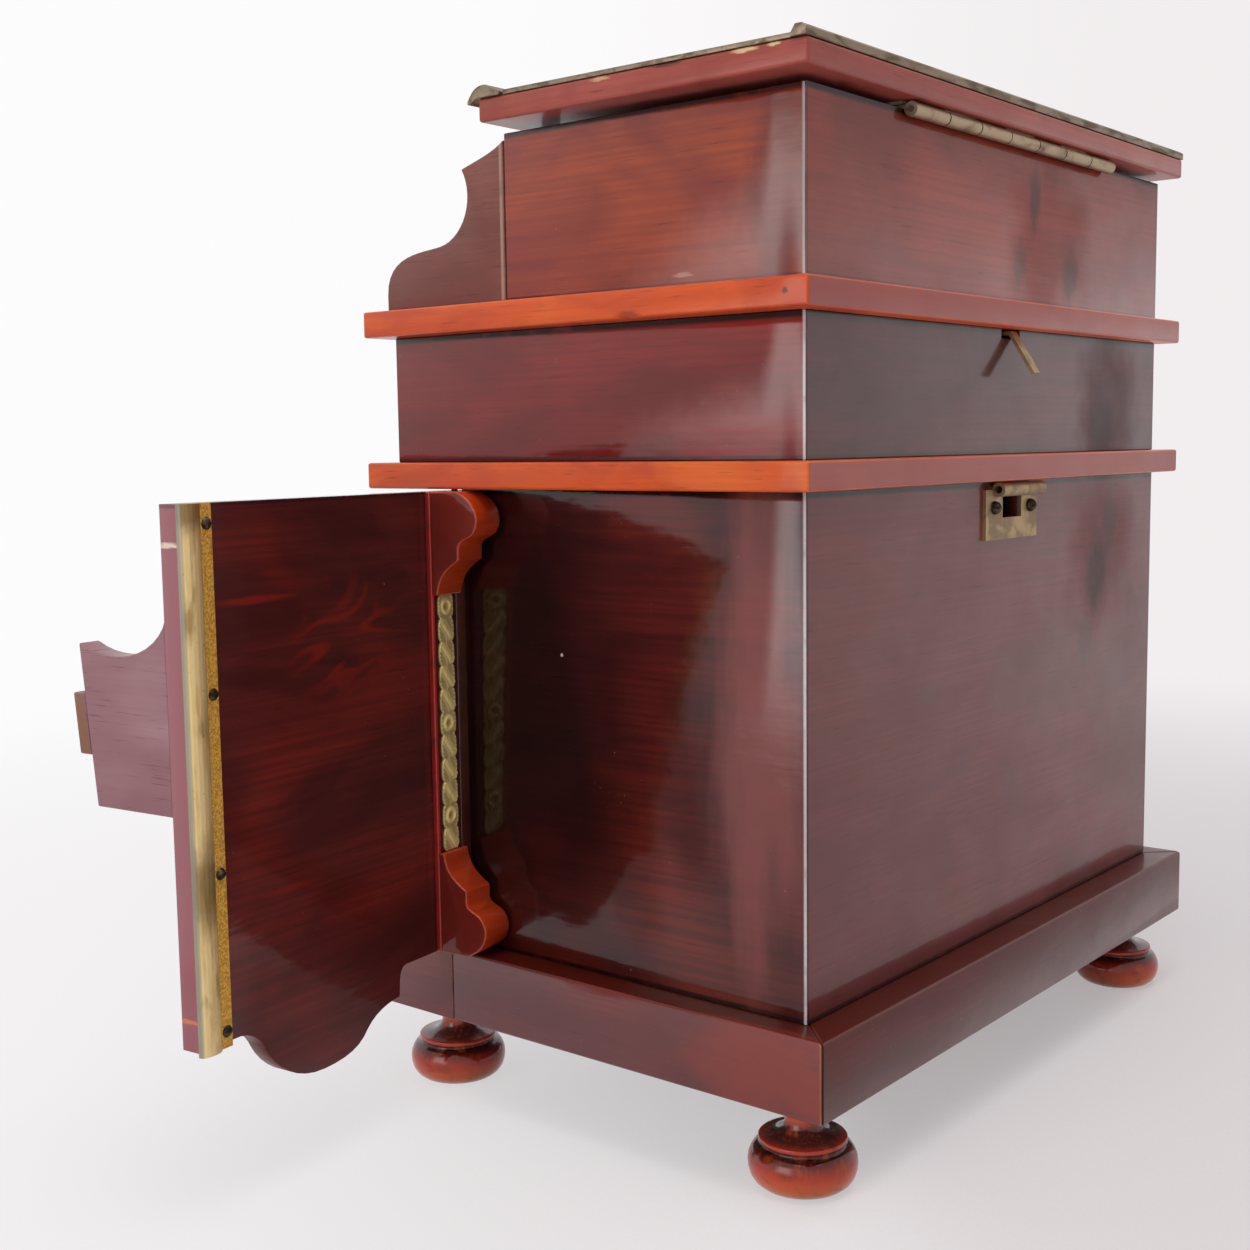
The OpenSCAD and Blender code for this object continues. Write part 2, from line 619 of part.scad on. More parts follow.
module right_door_panel() color(dark_wood) place_right() door_panel();
module right_pilaster() color(dark_wood) place_right() pilaster();
module right_corbels() color(belt_wood) place_right() corbels();
module right_embossed_strip() color(aged_brass) place_right() embossed_strip();
module right_rack_boards() color(red_wood) place_right() rack_boards(right_edge_s);
module right_rack_guard() color(red_wood) place_right() rack_guard(right_edge_s);
module left_door_panel() color(dark_wood) place_left() door_panel();
module left_pilaster() color(dark_wood) place_left() pilaster();
module left_corbels() color(belt_wood) place_left() corbels();
module left_embossed_strip() color(aged_brass) place_left() embossed_strip();
module left_rack_boards() color(red_wood) place_left() rack_boards(left_edge_s);
module left_rack_guard() color(red_wood) place_left() rack_guard(left_edge_s);

// Meeting strip on the right door: a flat with a half-round ridge along the free edge
module astragal_strip() color(aged_brass) place_right() {
  s0 = door_len - astragal_w;
  flat = astragal_w * 0.36;
  ridge = (astragal_w - flat) / 2;
  translate([0, out_face, lower_z - 1]) linear_extrude(door_top_z - lower_z + 1)
    polygon(concat([[s0, 0], [s0, -0.6], [s0 + flat, -0.6]],
      [for (i = [1 : 7]) let (a = i * 180 / 8)
        [s0 + flat + ridge - ridge * cos(a), -0.6 - 1.1 * sin(a)]],
      [[door_len, -0.6], [door_len, 0]]));
}

module astragal_pins() color(steel) place_right()
  for (z = [lower_z + 2.2, mid(lower_z, door_top_z) - 18.6, mid(lower_z, door_top_z) + 15.8, door_top_z - 3.8])
    translate([door_len - astragal_w * 0.84, out_face - 0.6, z]) rotate([90, 0, 0]) rotate_extrude()
      polygon(concat([[0, 0]], arc([0, -0.5], 1.3, 23, 90, 5)));

module door_pivot_pins() color(steel) both_sides() {
  rod_z(door_pin_r, pivot_x, pivot_y, lower_z - pin_seat + 0.1, door_foot_z + pin_in_door - 1.4);
  rod_z(door_pin_r, pivot_x, pivot_y, door_top_z - pin_in_door + 0.4, lower_belt_z + pin_seat - 0.1);
}

// ---------- drawer ----------
drawer_x = inner_w - drawer_gap;
drawer_z = tier_z + drawer_gap;
drawer_top_z = upper_belt_z - drawer_gap;
drawer_back_y = partition_y - 3;
drawer_rim_z = drawer_top_z - 4;   // top of the box boards behind the drawer's front
knob_r = 3.4;
knob_turn = 40;      // how far the knob's ball comes in under its widest

module drawer_front() color(dark_wood)
  box([-drawer_x, tier_front_y, drawer_z], [drawer_x, tier_front_y + wall_t, drawer_top_z]);

module drawer_box() color("#b98b5e") {
  front = tier_front_y + wall_t + 0.01;
  both_sides()
    box([drawer_x - drawer_t, front, drawer_z], [drawer_x, drawer_back_y, drawer_rim_z]);
  box([-drawer_x + drawer_t + glue_gap, drawer_back_y - drawer_t, drawer_z],
      [drawer_x - drawer_t - glue_gap, drawer_back_y, drawer_rim_z]);
}

module drawer_bottom() color("#b98b5e")
  box([-drawer_x + drawer_t + glue_gap, tier_front_y + wall_t + glue_gap, drawer_z],
      [drawer_x - drawer_t - glue_gap, drawer_back_y - drawer_t - glue_gap, drawer_z + 1.6]);

module drawer_knobs() color(aged_brass) both_sides()
  translate([case_w / 4, tier_front_y, mid(drawer_z, drawer_top_z)]) rotate([90, 0, 0]) rotate_extrude()
    polygon(concat([[0, 0], [3, 0], [3, 0.6], [1.5, 1.2], [1.5, 3]],
      arc([0, 1.8 + knob_r], knob_r, -knob_turn, 90, 10)));

// ---------- back hardware ----------
module key_plate() color(aged_brass) {
  difference() {
    box([-plate_w / 2, back_y, plate_low_z], [plate_w / 2, back_y + plate_t, curl_z]);
    box([-hole_w / 2, back_y - cut, hole_low_z], [hole_w / 2, back_y + 4, hole_top_z]);
    for (sx = [-1, 1])
      rod_y(small_screw_r + run_gap, sx * plate_screw_x, arbor_z, back_y - cut, back_y + cut);
  }
  difference() {
    rod_x(curl_r, back_y + curl_r, curl_z, -plate_w / 2, plate_w / 2 - 4.4);
    rod_x(curl_r * 0.55, back_y + curl_r, curl_z, -plate_w, plate_w);
  }
}

module brass_screws() color(aged_brass) {
  for (sx = [-1, 1])
    headed_pin(sx * plate_screw_x, arbor_z, back_y + plate_t, small_screw_r, 1.5, screw_l - 0.2 + plate_t);
  for (i = [-1.5 : 1.5])
    rod_z(small_screw_r, i * hinge_w / 4, back_y - wall_t / 2, upper_top_z - screw_l + 0.2, upper_top_z + leaf_t);
}

// ---------- movement ----------
bed_screws = [for (sx = [-1, 1], z = [bed_low_z + 2.5, bed_top_z - 2.5]) [sx * (bed_w - 3), z]];
comb_screws = [for (z = [cyl_z + 4, cyl_z + cylinder_l - 4]) [mid(comb_root_x, comb_end_x), z]];

module movement_battens() color("#b98b5e") difference() {
  both_sides() box([bed_w - 6, bed_back_y, bed_low_z], [bed_w, back_in_y, bed_top_z]);
  for (p = bed_screws) rod_y(screw_r + run_gap, p[0], p[1], bed_back_y - cut, back_in_y - 0.5);
}

module bedplate() color("#a9a9a2") difference() {
  union() {
    box([-bed_w, bed_y, bed_low_z], [bed_w, bed_back_y, bed_top_z]);
    box([comb_root_x, cyl_y + comb_t / 2, cyl_z], [comb_end_x, bed_y, cyl_z + cylinder_l]);
  }
  for (p = bed_screws) rod_y(screw_r + run_gap, p[0], p[1], bed_y - cut, bed_back_y + cut);
  for (p = comb_screws) rod_y(small_screw_r + run_gap, p[0], p[1], cyl_y, bed_back_y + cut);
  rod_y(1.5 + run_gap, 0, arbor_z, bed_y - cut, bed_back_y + cut);
  rod_y(small_screw_r + run_gap, 0, lever_pivot_z, bed_y - cut, bed_back_y + cut);
  rod_y(0.5 + run_gap, fan_x, fan_z, bed_y - cut, bed_back_y + cut);
  box([fan_x - 3.1, bed_y - cut, fan_z + 4.6], [fan_x + 3.1, bed_back_y + cut, fan_z + 9.6]);
}

module movement_screws() color(steel) {
  for (p = bed_screws) {
    rod_y(screw_r, p[0], p[1], bed_y - 0.05, bed_back_y + 2);
    rod_y(2.2, p[0], p[1], bed_y - 1, bed_y - 0.01);
  }
  for (p = comb_screws) {
    rod_y(small_screw_r, p[0], p[1], cyl_y - 0.8, bed_y);
    rod_y(1.8, p[0], p[1], cyl_y - comb_t / 2 - 1, cyl_y - comb_t / 2 - 0.01);
  }
  rod_y(small_screw_r, 0, lever_pivot_z, bed_y, lever_y + lever_t + 0.1);
  rod_y(1.6, 0, lever_pivot_z, lever_y + lever_t + 0.05, lever_y + lever_t + 0.8);
}

// Two bearing plates for the cylinder's arbor, each with a foot on the bedplate
module bearing_bridges() color(aged_brass) for (end = [0, 1]) {
  z = end == 0 ? low_bridge_z : top_bridge_z;
  foot_up = 2.5;
  foot_z = end == 0 ? z : z - foot_up;
  difference() {
    union() {
      box([-bridge_w, cyl_y - 3.5, z], [bridge_w, bed_y - 0.01, z + bridge_t]);
      box([-bridge_w, bed_y - 1, foot_z], [bridge_w, bed_y - 0.01, foot_z + foot_up + bridge_t]);
    }
    rod_z(arbor_r + run_gap, 0, cyl_y, z - cut, z + bridge_t + cut);
  }
}

// Comb: one tooth per note, tips at the cylinder, root under the screws
module steel_comb() color(steel) {
  pitch = cylinder_l / (comb_teeth + 1);
  difference() {
    translate([0, cyl_y + comb_t / 2 - 0.01, 0]) rotate([90, 0, 0]) linear_extrude(comb_t - glue_gap)
      polygon(concat(
        [[comb_end_x, cyl_z], [comb_end_x, cyl_z + cylinder_l], [comb_root_x - 1, cyl_z + cylinder_l]],
        [for (i = [comb_teeth - 1 : -1 : 0]) let (z = cyl_z + (i + 1) * pitch) each
          [[comb_root_x - 1, z + pitch * 0.4], [comb_tip_x, z + pitch * 0.3],
           [comb_tip_x, z - pitch * 0.3], [comb_root_x - 1, z - pitch * 0.4]]],
        [[comb_root_x - 1, cyl_z]]));
    for (p = comb_screws) rod_y(small_screw_r + run_gap, p[0], p[1], cyl_y - 2, cyl_y + 2);
  }
}

// Frame of the governor: arms for the wheel's arbor and a cheek for the worm's front pivot
module governor_frame() color(aged_brass) {
  arm_x0 = gov_x - 1.5;
  arm_x1 = gov_x + 2.6;
  cheek_y = cyl_y - 8.4;
  difference() {
    union() {
      box([arm_x0, bed_y - 1, gov_low_z], [arm_x1, bed_y - 0.01, gov_top_z + bridge_t]);
      box([fan_x - 2.2, cheek_y, gov_low_z], [arm_x1, bed_y - 0.01, gov_low_z + wheel_t]);
      box([arm_x0, cyl_y - 3, gov_top_z], [arm_x1, bed_y - 0.01, gov_top_z + bridge_t]);
      box([fan_x - 2.2, cheek_y, gov_low_z], [fan_x + 2.2, cheek_y + 1.2, fan_z + 2.2]);
    }
    rod_z(0.7 + run_gap, gov_x, cyl_y, gov_low_z - cut, gov_top_z + bridge_t + cut);
    rod_y(0.5 + run_gap, fan_x, fan_z, cheek_y - cut, cheek_y + 3);
  }
}

// Click that holds the ratchet wheel, on the back of the bedplate
module ratchet_click() color(steel) {
  y0 = bed_back_y + 0.01;
  translate([0, y0 + 1, 0]) rotate([90, 0, 0]) linear_extrude(1)
    polygon([[5.2, arbor_z + 1.2], [11, arbor_z + 4.5], [12.6, arbor_z + 2.6], [6.4, arbor_z - 0.2]]);
  rod_y(1.4, 11, arbor_z + 3.2, y0, y0 + 1.8);
}

module spring_barrel() color(aged_brass) difference() {
  union() {
    rod_y(barrel_r, 0, arbor_z, crown_y + 1, barrel_back_y);
    for (i = [0 : crown_teeth - 1]) translate([0, crown_y + 1.1, arbor_z]) rotate([0, (i + 0.5) * 360 / crown_teeth, 0])
      translate([0, 0, mesh_r - crown_face_w / 2]) rotate([0, 0, 180]) linear_extrude(crown_face_w)
        polygon([[-0.34, 0], [0.34, 0], [0.14, crown_h], [-0.14, crown_h]]);
  }
  rod_y(barrel_r - 1, 0, arbor_z, crown_y + 2, barrel_back_y + cut);
  rod_y(1.5 + run_gap, 0, arbor_z, crown_y - cut, barrel_back_y + cut);
}

// Spiral of spring strip between the arbor's collar and the barrel wall
spring_turns = 6;
spring_steps = spring_turns * 24;
spring_t = 0.35;
spring_in_r = 3;
spring_out_r = barrel_r - 1.4;
function spring_point(k, off) = let (a = 360 * spring_turns * k / spring_steps)
  (spring_in_r + (spring_out_r - spring_in_r) * k / spring_steps + off) * [cos(a), sin(a)];

module mainspring() color("#5b6470")
  translate([0, barrel_back_y - 0.5, arbor_z]) rotate([90, 0, 0])
    linear_extrude(barrel_back_y - crown_y - 3)
      polygon(concat([for (k = [0 : spring_steps]) spring_point(k, 0)],
                     [for (k = [spring_steps : -1 : 0]) spring_point(k, spring_t)]));

// Arbor that the key winds: squared end in the keyhole, ratchet wheel, collar inside the barrel
module winding_arbor() color(steel) {
  rod_y(1.5, 0, arbor_z, crown_y + 0.6, back_in_y - 0.5);
  rod_y(2.4, 0, arbor_z, crown_y + 2.3, barrel_back_y - 0.3);
  translate([-1.1, back_in_y - 0.6, arbor_z - 1.1]) cube([2.2, 2.8, 2.2]);
  translate([0, bed_back_y + 1.3, arbor_z]) rotate([90, 0, 0]) linear_extrude(1)
    polygon([for (i = [0 : 17]) each [5 * [cos(i * 20), sin(i * 20)], 4.2 * [cos(i * 20 + 3), sin(i * 20 + 3)]]]);
}

// Brass cylinder with three rounds of pins on each note's track
module pinned_cylinder() color("#c9a24c") difference() {
  union() {
    rod_z(cylinder_r, 0, cyl_y, cyl_z, cyl_z + cylinder_l);
    for (i = [0 : comb_teeth - 1], k = [0 : 2])
      translate([0, cyl_y, cyl_z + (i + 1) * cylinder_l / (comb_teeth + 1)])
        rotate([0, 0, 37 * i + 120 * k + 20 * (i * k % 3)]) rotate([0, 90, 0])
          cylinder(r = 0.16, h = cylinder_r + 0.4, $fn = 16);
  }
  rod_z(arbor_r + glue_gap, 0, cyl_y, cyl_z - cut, cyl_z + cylinder_l + cut);
}

// Steel arbor with the driving pinion below the cylinder and the great wheel above it
module cylinder_arbor() color(steel) translate([0, cyl_y, 0]) {
  rod_z(arbor_r, 0, 0, drive_z - 0.5, top_bridge_z + bridge_t + 0.4);
  translate([0, 0, drive_z]) linear_extrude(crown_face_w) rotate(90) gear_outline(drive_teeth, drive_r, 1.4);
  translate([0, 0, wheel_z]) linear_extrude(wheel_t) rotate(180) gear_outline(wheel_teeth, wheel_r, 1.2);
}

module governor_wheel() color(aged_brass) translate([gov_x, cyl_y, 0]) {
  rod_z(0.7, 0, 0, gov_low_z - 0.3, gov_top_z + bridge_t + 0.3);
  translate([0, 0, wheel_z - 0.2]) linear_extrude(wheel_t + 0.4)
    rotate(180 / gov_teeth) gear_outline(gov_teeth, gov_pinion_r, 1.2);
  translate([0, 0, worm_wheel_z]) linear_extrude(worm_wheel_t)
    rotate(180) gear_outline(worm_teeth, worm_wheel_r, 0.8);
}

// Two-start worm with the butterfly fan that holds the speed
module fan_arbor() color(steel) {
  rod_y(0.5, fan_x, fan_z, cyl_y - 8.6, bed_y + 1);
  translate([fan_x, cyl_y - worm_l / 2, fan_z]) rotate([-90, 0, 0])
    linear_extrude(worm_l, twist = -360 * worm_l / worm_lead, slices = 24)
      rotate(90 - 180 * worm_l / worm_lead) polygon([for (a = [0 : 45 : 315]) [worm_out_r * cos(a), worm_in_r * sin(a)]]);
  translate([fan_x - fan_r, fan_y, fan_z - 0.25]) cube([2 * fan_r, fan_l, 0.5]);
}

// Flat strip pivoted behind the bedplate: one arm brakes the fan, the tail comes out under the belt
module stop_lever() color("#d4b26a") difference() {
  union() {
    box([-lever_w / 2, lever_y, lever_pivot_z - 2.5], [lever_w / 2, lever_y + lever_t, lever_out_z + lever_t]);
    box([fan_x - 1.3, lever_y, fan_z + 6.6], [0, lever_y + lever_t, fan_z + 9]);
    box([fan_x - 1.3, fan_y, fan_z + 6.6], [fan_x + 1.3, lever_y + lever_t, fan_z + 7.4]);
    side_plate([[lever_y + 0.2, lever_out_z], [lever_y + 0.2, lever_out_z + lever_t],
                [back_y + 0.6, lever_out_z + lever_t],
                [lever_tip_y + 0.35, lever_tip_z + 0.4], [lever_tip_y - 0.35, lever_tip_z], [back_y + 0.2, lever_out_z]],
               -lever_w / 2, lever_w / 2);
  }
  rod_y(small_screw_r + run_gap, 0, lever_pivot_z, lever_y - cut, lever_y + cut + lever_t);
}

bun_feet();
plinth_sides();
plinth_back();
foot_blocks();
bottom_board();
lower_sides();
lower_back();
movement_partition();
lower_belt_board();
tier_sides();
tier_back();
upper_belt_board();
upper_sides();
upper_back();
upper_front();
scroll_wings();
key_plate();
brass_screws();
door_pivot_pins();
lid_pads();
hinge_fixed_leaf();
hinge_pin();
lid_board();
lid_edge_strips();
lid_ogee_strip();
hinge_moving_leaf();
hinge_moving_screws();
right_door_panel();
right_pilaster();
right_corbels();
right_embossed_strip();
right_rack_boards();
right_rack_guard();
astragal_strip();
astragal_pins();
left_door_panel();
left_pilaster();
left_corbels();
left_embossed_strip();
left_rack_boards();
left_rack_guard();
drawer_front();
drawer_box();
drawer_bottom();
drawer_knobs();
movement_battens();
bedplate();
movement_screws();
bearing_bridges();
steel_comb();
governor_frame();
ratchet_click();
spring_barrel();
mainspring();
winding_arbor();
pinned_cylinder();
cylinder_arbor();
governor_wheel();
fan_arbor();
stop_lever();
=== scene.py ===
import math

import bmesh
import bpy
from mathutils import Matrix, Vector


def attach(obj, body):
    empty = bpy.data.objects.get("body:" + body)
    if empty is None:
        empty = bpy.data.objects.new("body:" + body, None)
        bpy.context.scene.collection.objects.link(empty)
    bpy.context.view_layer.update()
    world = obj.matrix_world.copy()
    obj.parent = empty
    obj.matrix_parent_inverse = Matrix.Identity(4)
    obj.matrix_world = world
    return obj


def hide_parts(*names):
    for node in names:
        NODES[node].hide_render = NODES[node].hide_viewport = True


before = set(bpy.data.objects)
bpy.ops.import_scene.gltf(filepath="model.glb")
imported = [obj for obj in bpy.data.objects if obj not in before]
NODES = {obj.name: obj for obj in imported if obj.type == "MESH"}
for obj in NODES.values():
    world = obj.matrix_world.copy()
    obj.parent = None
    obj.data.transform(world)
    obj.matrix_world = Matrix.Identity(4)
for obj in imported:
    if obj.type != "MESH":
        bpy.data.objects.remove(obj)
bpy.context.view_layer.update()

MM = 0.001
X, Y, Z = (1, 0, 0), (0, 1, 0), (0, 0, 1)

# the case, in mm: outer faces of its boards, and the levels where its tiers meet
SIDE_X, BACK_Y, WALL = 84.4, 57.5, 5.0
BELT_X, BELT_BACK_Y, BELT_FRONT_Y = 90.5, 61.9, -57.0
PLINTH_X, PLINTH_BACK_Y = 91.15, 65.2
LID_X, LID_TOP = 90.2, 220.3
FOOT_TOP, PLINTH_TOP, LOWER_TOP, TIER_BOTTOM, TIER_TOP = 19.0, 35.4, 139.0, 144.8, 172.8
UPPER_BOTTOM, UPPER_TOP = 178.6, 213.9
# holes in its boards
KEYHOLE_X, KEYHOLE_Z = 4.7, (130.6, 135.4)
LEVER_SLOT_X, LEVER_SLOT_Z = 4.4, 170.6
WORKS_HOLE_X, PARTITION_X, PARTITION_Y = 27.0, 79.4, (17.5, 20.5)


# ---------- camera ----------
CAMERA_AT = Vector((345.7, 226.1, 148.5)) * MM
YAW, PITCH, ROLL = 0.8871, -0.1102, -0.014
FOCAL_PX, IMAGE_PX, SENSOR_MM = 1644.1, 1250, 36.0


def make_camera():
    ahead = Vector((-math.sin(YAW) * math.cos(PITCH), -math.cos(YAW) * math.cos(PITCH), math.sin(PITCH)))
    level = Vector((-math.cos(YAW), math.sin(YAW), 0))
    top = level.cross(ahead)
    right = math.cos(ROLL) * level + math.sin(ROLL) * top
    up = -math.sin(ROLL) * level + math.cos(ROLL) * top
    data = bpy.data.cameras.new("camera")
    data.sensor_width = SENSOR_MM
    data.lens = FOCAL_PX / IMAGE_PX * SENSOR_MM
    data.clip_start = 0.01
    camera = bpy.data.objects.new("camera", data)
    turn = Matrix((right, up, -ahead)).transposed().to_4x4()
    camera.matrix_world = Matrix.Translation(CAMERA_AT) @ turn
    bpy.context.collection.objects.link(camera)
    bpy.context.scene.camera = camera


# ---------- shader nodes ----------
def linear(hex_colour):
    """sRGB hex to a linear RGBA colour."""
    parts = [int(hex_colour[i:i + 2], 16) / 255 for i in (1, 3, 5)]
    return (*[p / 12.92 if p <= 0.04045 else ((p + 0.055) / 1.055) ** 2.4 for p in parts], 1.0)


def add(tree, kind, links=(), out=0, **settings):
    """Adds one node with its settings, and links or sets its inputs. Gives back one of its outputs."""
    node = tree.nodes.new("ShaderNode" + kind)
    for key, value in settings.items():
        setattr(node, key, value)
    for socket, value in (links.items() if isinstance(links, dict) else enumerate(links)):
        if isinstance(value, bpy.types.NodeSocket):
            tree.links.new(value, node.inputs[socket])
        else:
            node.inputs[socket].default_value = value
    return node.outputs[out] if node.outputs else None


def new_material(name):
    material = bpy.data.materials.new(name)
    material.use_nodes = True
    material.node_tree.nodes.clear()
    return material, material.node_tree


# ---------- effects made of several nodes ----------
def cloud(tree, place, size_mm, at, detail, distortion):
    """Cloudy values round 0.5, with clouds about size_mm (x, y, z) big."""
    moved = add(tree, "Mapping", {"Vector": place, "Location": at, "Scale": [1 / (s * MM) for s in size_mm]})
    return add(tree, "TexNoise", {"Vector": moved, "Scale": 1.0, "Detail": detail, "Distortion": distortion})


def distance_from(tree, value, level):
    """How far a value is from a level, either way."""
    off = add(tree, "Math", [value, level], operation="SUBTRACT")
    return add(tree, "Math", [off], operation="ABSOLUTE")


def patches(tree, place, size_mm, low, high, most=1.0, least=0.0, at=(0, 0, 0), detail=3, distortion=0.0):
    """Mask of patches about size_mm big: least where the cloud is below low, most where it is above high."""
    thick = cloud(tree, place, size_mm, at, detail, distortion)
    return add(tree, "MapRange", [thick, low, high, least, most], interpolation_type="SMOOTHSTEP")


def flames(tree, place, size_mm, width, at):
    """Mask of lines that curl like the flame figure of a knotty veneer."""
    off = distance_from(tree, cloud(tree, place, size_mm, at, detail=1.0, distortion=2.6), 0.5)
    return add(tree, "MapRange", [off, width, 0.2 * width, 0.0, 1.0], interpolation_type="SMOOTHSTEP")


def spot(tree, place, at_mm, radii_mm, most=1.0, ragged=0.5):
    """Mask of one blot with a ragged outline."""
    local = add(tree, "Mapping", {"Vector": place, "Location": [-a / r for a, r in zip(at_mm, radii_mm)],
                                  "Scale": [1 / (r * MM) for r in radii_mm]})
    away = add(tree, "VectorMath", [local], "Value", operation="LENGTH")
    rough = add(tree, "TexNoise", {"Vector": local, "Scale": 1.7, "Detail": 4.0})
    away = add(tree, "Math", [rough, 2 * ragged, away], operation="MULTIPLY_ADD")
    edge, core = 1 + ragged, 0.35 + ragged
    return add(tree, "MapRange", [away, edge, core, 0.0, most], interpolation_type="SMOOTHSTEP")


def line(tree, place, across, level_mm, half_mm, most=1.0):
    """Mask of a line across a direction of the piece at one level, broken a little along its length."""
    height = add(tree, "VectorMath", [place, across], "Value", operation="DOT_PRODUCT")
    off = distance_from(tree, height, level_mm * MM)
    edge, core = half_mm * MM, 0.25 * half_mm * MM
    near = add(tree, "MapRange", [off, edge, core, 0.0, most], interpolation_type="SMOOTHSTEP")
    broken = patches(tree, place, (5, 5, 5), 0.2, 0.5, 1.0, 0.45, at=(4, 1, 8))
    return add(tree, "Math", [near, broken], operation="MULTIPLY")


def arrises(tree, radius_mm):
    """1 on arrises and corners, 0 on flat faces: how far rounding would turn the surface there."""
    rounded = add(tree, "Bevel", {"Radius": radius_mm * MM}, samples=6)
    flat = add(tree, "NewGeometry", out="Normal")
    turned = add(tree, "VectorMath", [rounded, flat], "Value", operation="DOT_PRODUCT")
    return add(tree, "MapRange", [turned, 0.985, 0.88, 0.0, 1.0], interpolation_type="SMOOTHSTEP")


def facing(tree, axis):
    """1 on faces square to an axis of the piece, either way round."""
    normal = add(tree, "TexCoord", out="Normal")
    share = add(tree, "Math", [add(tree, "SeparateXYZ", [normal], axis)], operation="ABSOLUTE")
    return add(tree, "MapRange", [share, 0.85, 0.95, 0.0, 1.0])


def laid_over(tree, colour, layers):
    """The colour, with each layer's own colour laid over it where that layer's mask is 1."""
    # a colour Mix has its two colours at inputs 6 and 7 and its result at output 2
    for mask, over in layers:
        colour = add(tree, "Mix", {0: mask, 6: colour, 7: linear(over)}, 2, data_type="RGBA")
    return colour


def relief(tree, parts):
    """Bump from several masks, each standing so many millimetres high."""
    total = 0.0
    for mask, high_mm in parts:
        total = add(tree, "Math", [mask, high_mm, total], operation="MULTIPLY_ADD")
    return add(tree, "Bump", {"Strength": 1.0, "Distance": MM, "Height": total})


# ---------- woods ----------
def veneer_figure(tree, place, fibres, stain, figure_mm, seed, grain):
    """Layers of a sliced veneer's own colour: broad red and brown figure, level fibres and dark pores."""
    deep, body, warm = stain
    bands_mm = (figure_mm * 1.6, figure_mm * 1.6, figure_mm * 0.5)
    bands = patches(tree, place, bands_mm, 0.32, 0.68, at=(0.3 + seed, 2.1, 0.7), distortion=1.3)
    glow_mm = (figure_mm * 1.7, figure_mm * 1.7, figure_mm)
    glow = patches(tree, place, glow_mm, 0.45, 0.72, 0.8, at=(5.2, 1.3 + seed, 4.4), detail=2, distortion=0.8)
    pores = patches(tree, place, (9, 9, 0.3), 0.62, 0.74, 0.4, at=(3, 1, 2), detail=2)
    thin = add(tree, "Math", [1.0, fibres], operation="SUBTRACT")
    lines_between = add(tree, "Math", [thin, grain], operation="MULTIPLY")
    return [(bands, body), (glow, warm), (lines_between, deep), (pores, "#1a0808")]


def handling_marks(tree, place, worn, rub, seed, dust):
    """Layers that use leaves on lacquer: paler rubbed arrises and specks of dust in cloudy places."""
    rubbed = patches(tree, place, (11, 11, 7), 0.42, 0.6, rub, at=(seed, 0, 0), detail=4)
    specks = patches(tree, place, (0.8, 0.8, 0.8), 0.76, 0.82, dust, at=(7, 3, 1), detail=1)
    dusty = patches(tree, place, (20, 20, 14), 0.5, 0.65)
    edges = add(tree, "Math", [arrises(tree, 0.45), rubbed], operation="MULTIPLY")
    specks = add(tree, "Math", [specks, dusty], operation="MULTIPLY")
    return [(edges, worn), (specks, "#a88880")]


def lacquer_relief(tree, place, fibres, rolled):
    """Brushed lacquer's slight waves, the grain telling through, and a broad roll-off by a rubbed corner."""
    heights = [(patches(tree, place, (9, 9, 6), 0.0, 1.0, at=(1, 1, 6), detail=2), 0.06), (fibres, 0.003)]
    if rolled:
        axis, start_mm, end_mm, drop_mm = rolled
        along = add(tree, "SeparateXYZ", [place], axis)
        start, end = start_mm * MM, end_mm * MM
        fall = add(tree, "MapRange", [along, start, end, 0.0, 1.0], interpolation_type="SMOOTHSTEP")
        heights.append((add(tree, "Math", [fall, 2.0], operation="POWER"), -drop_mm))
    return relief(tree, heights)


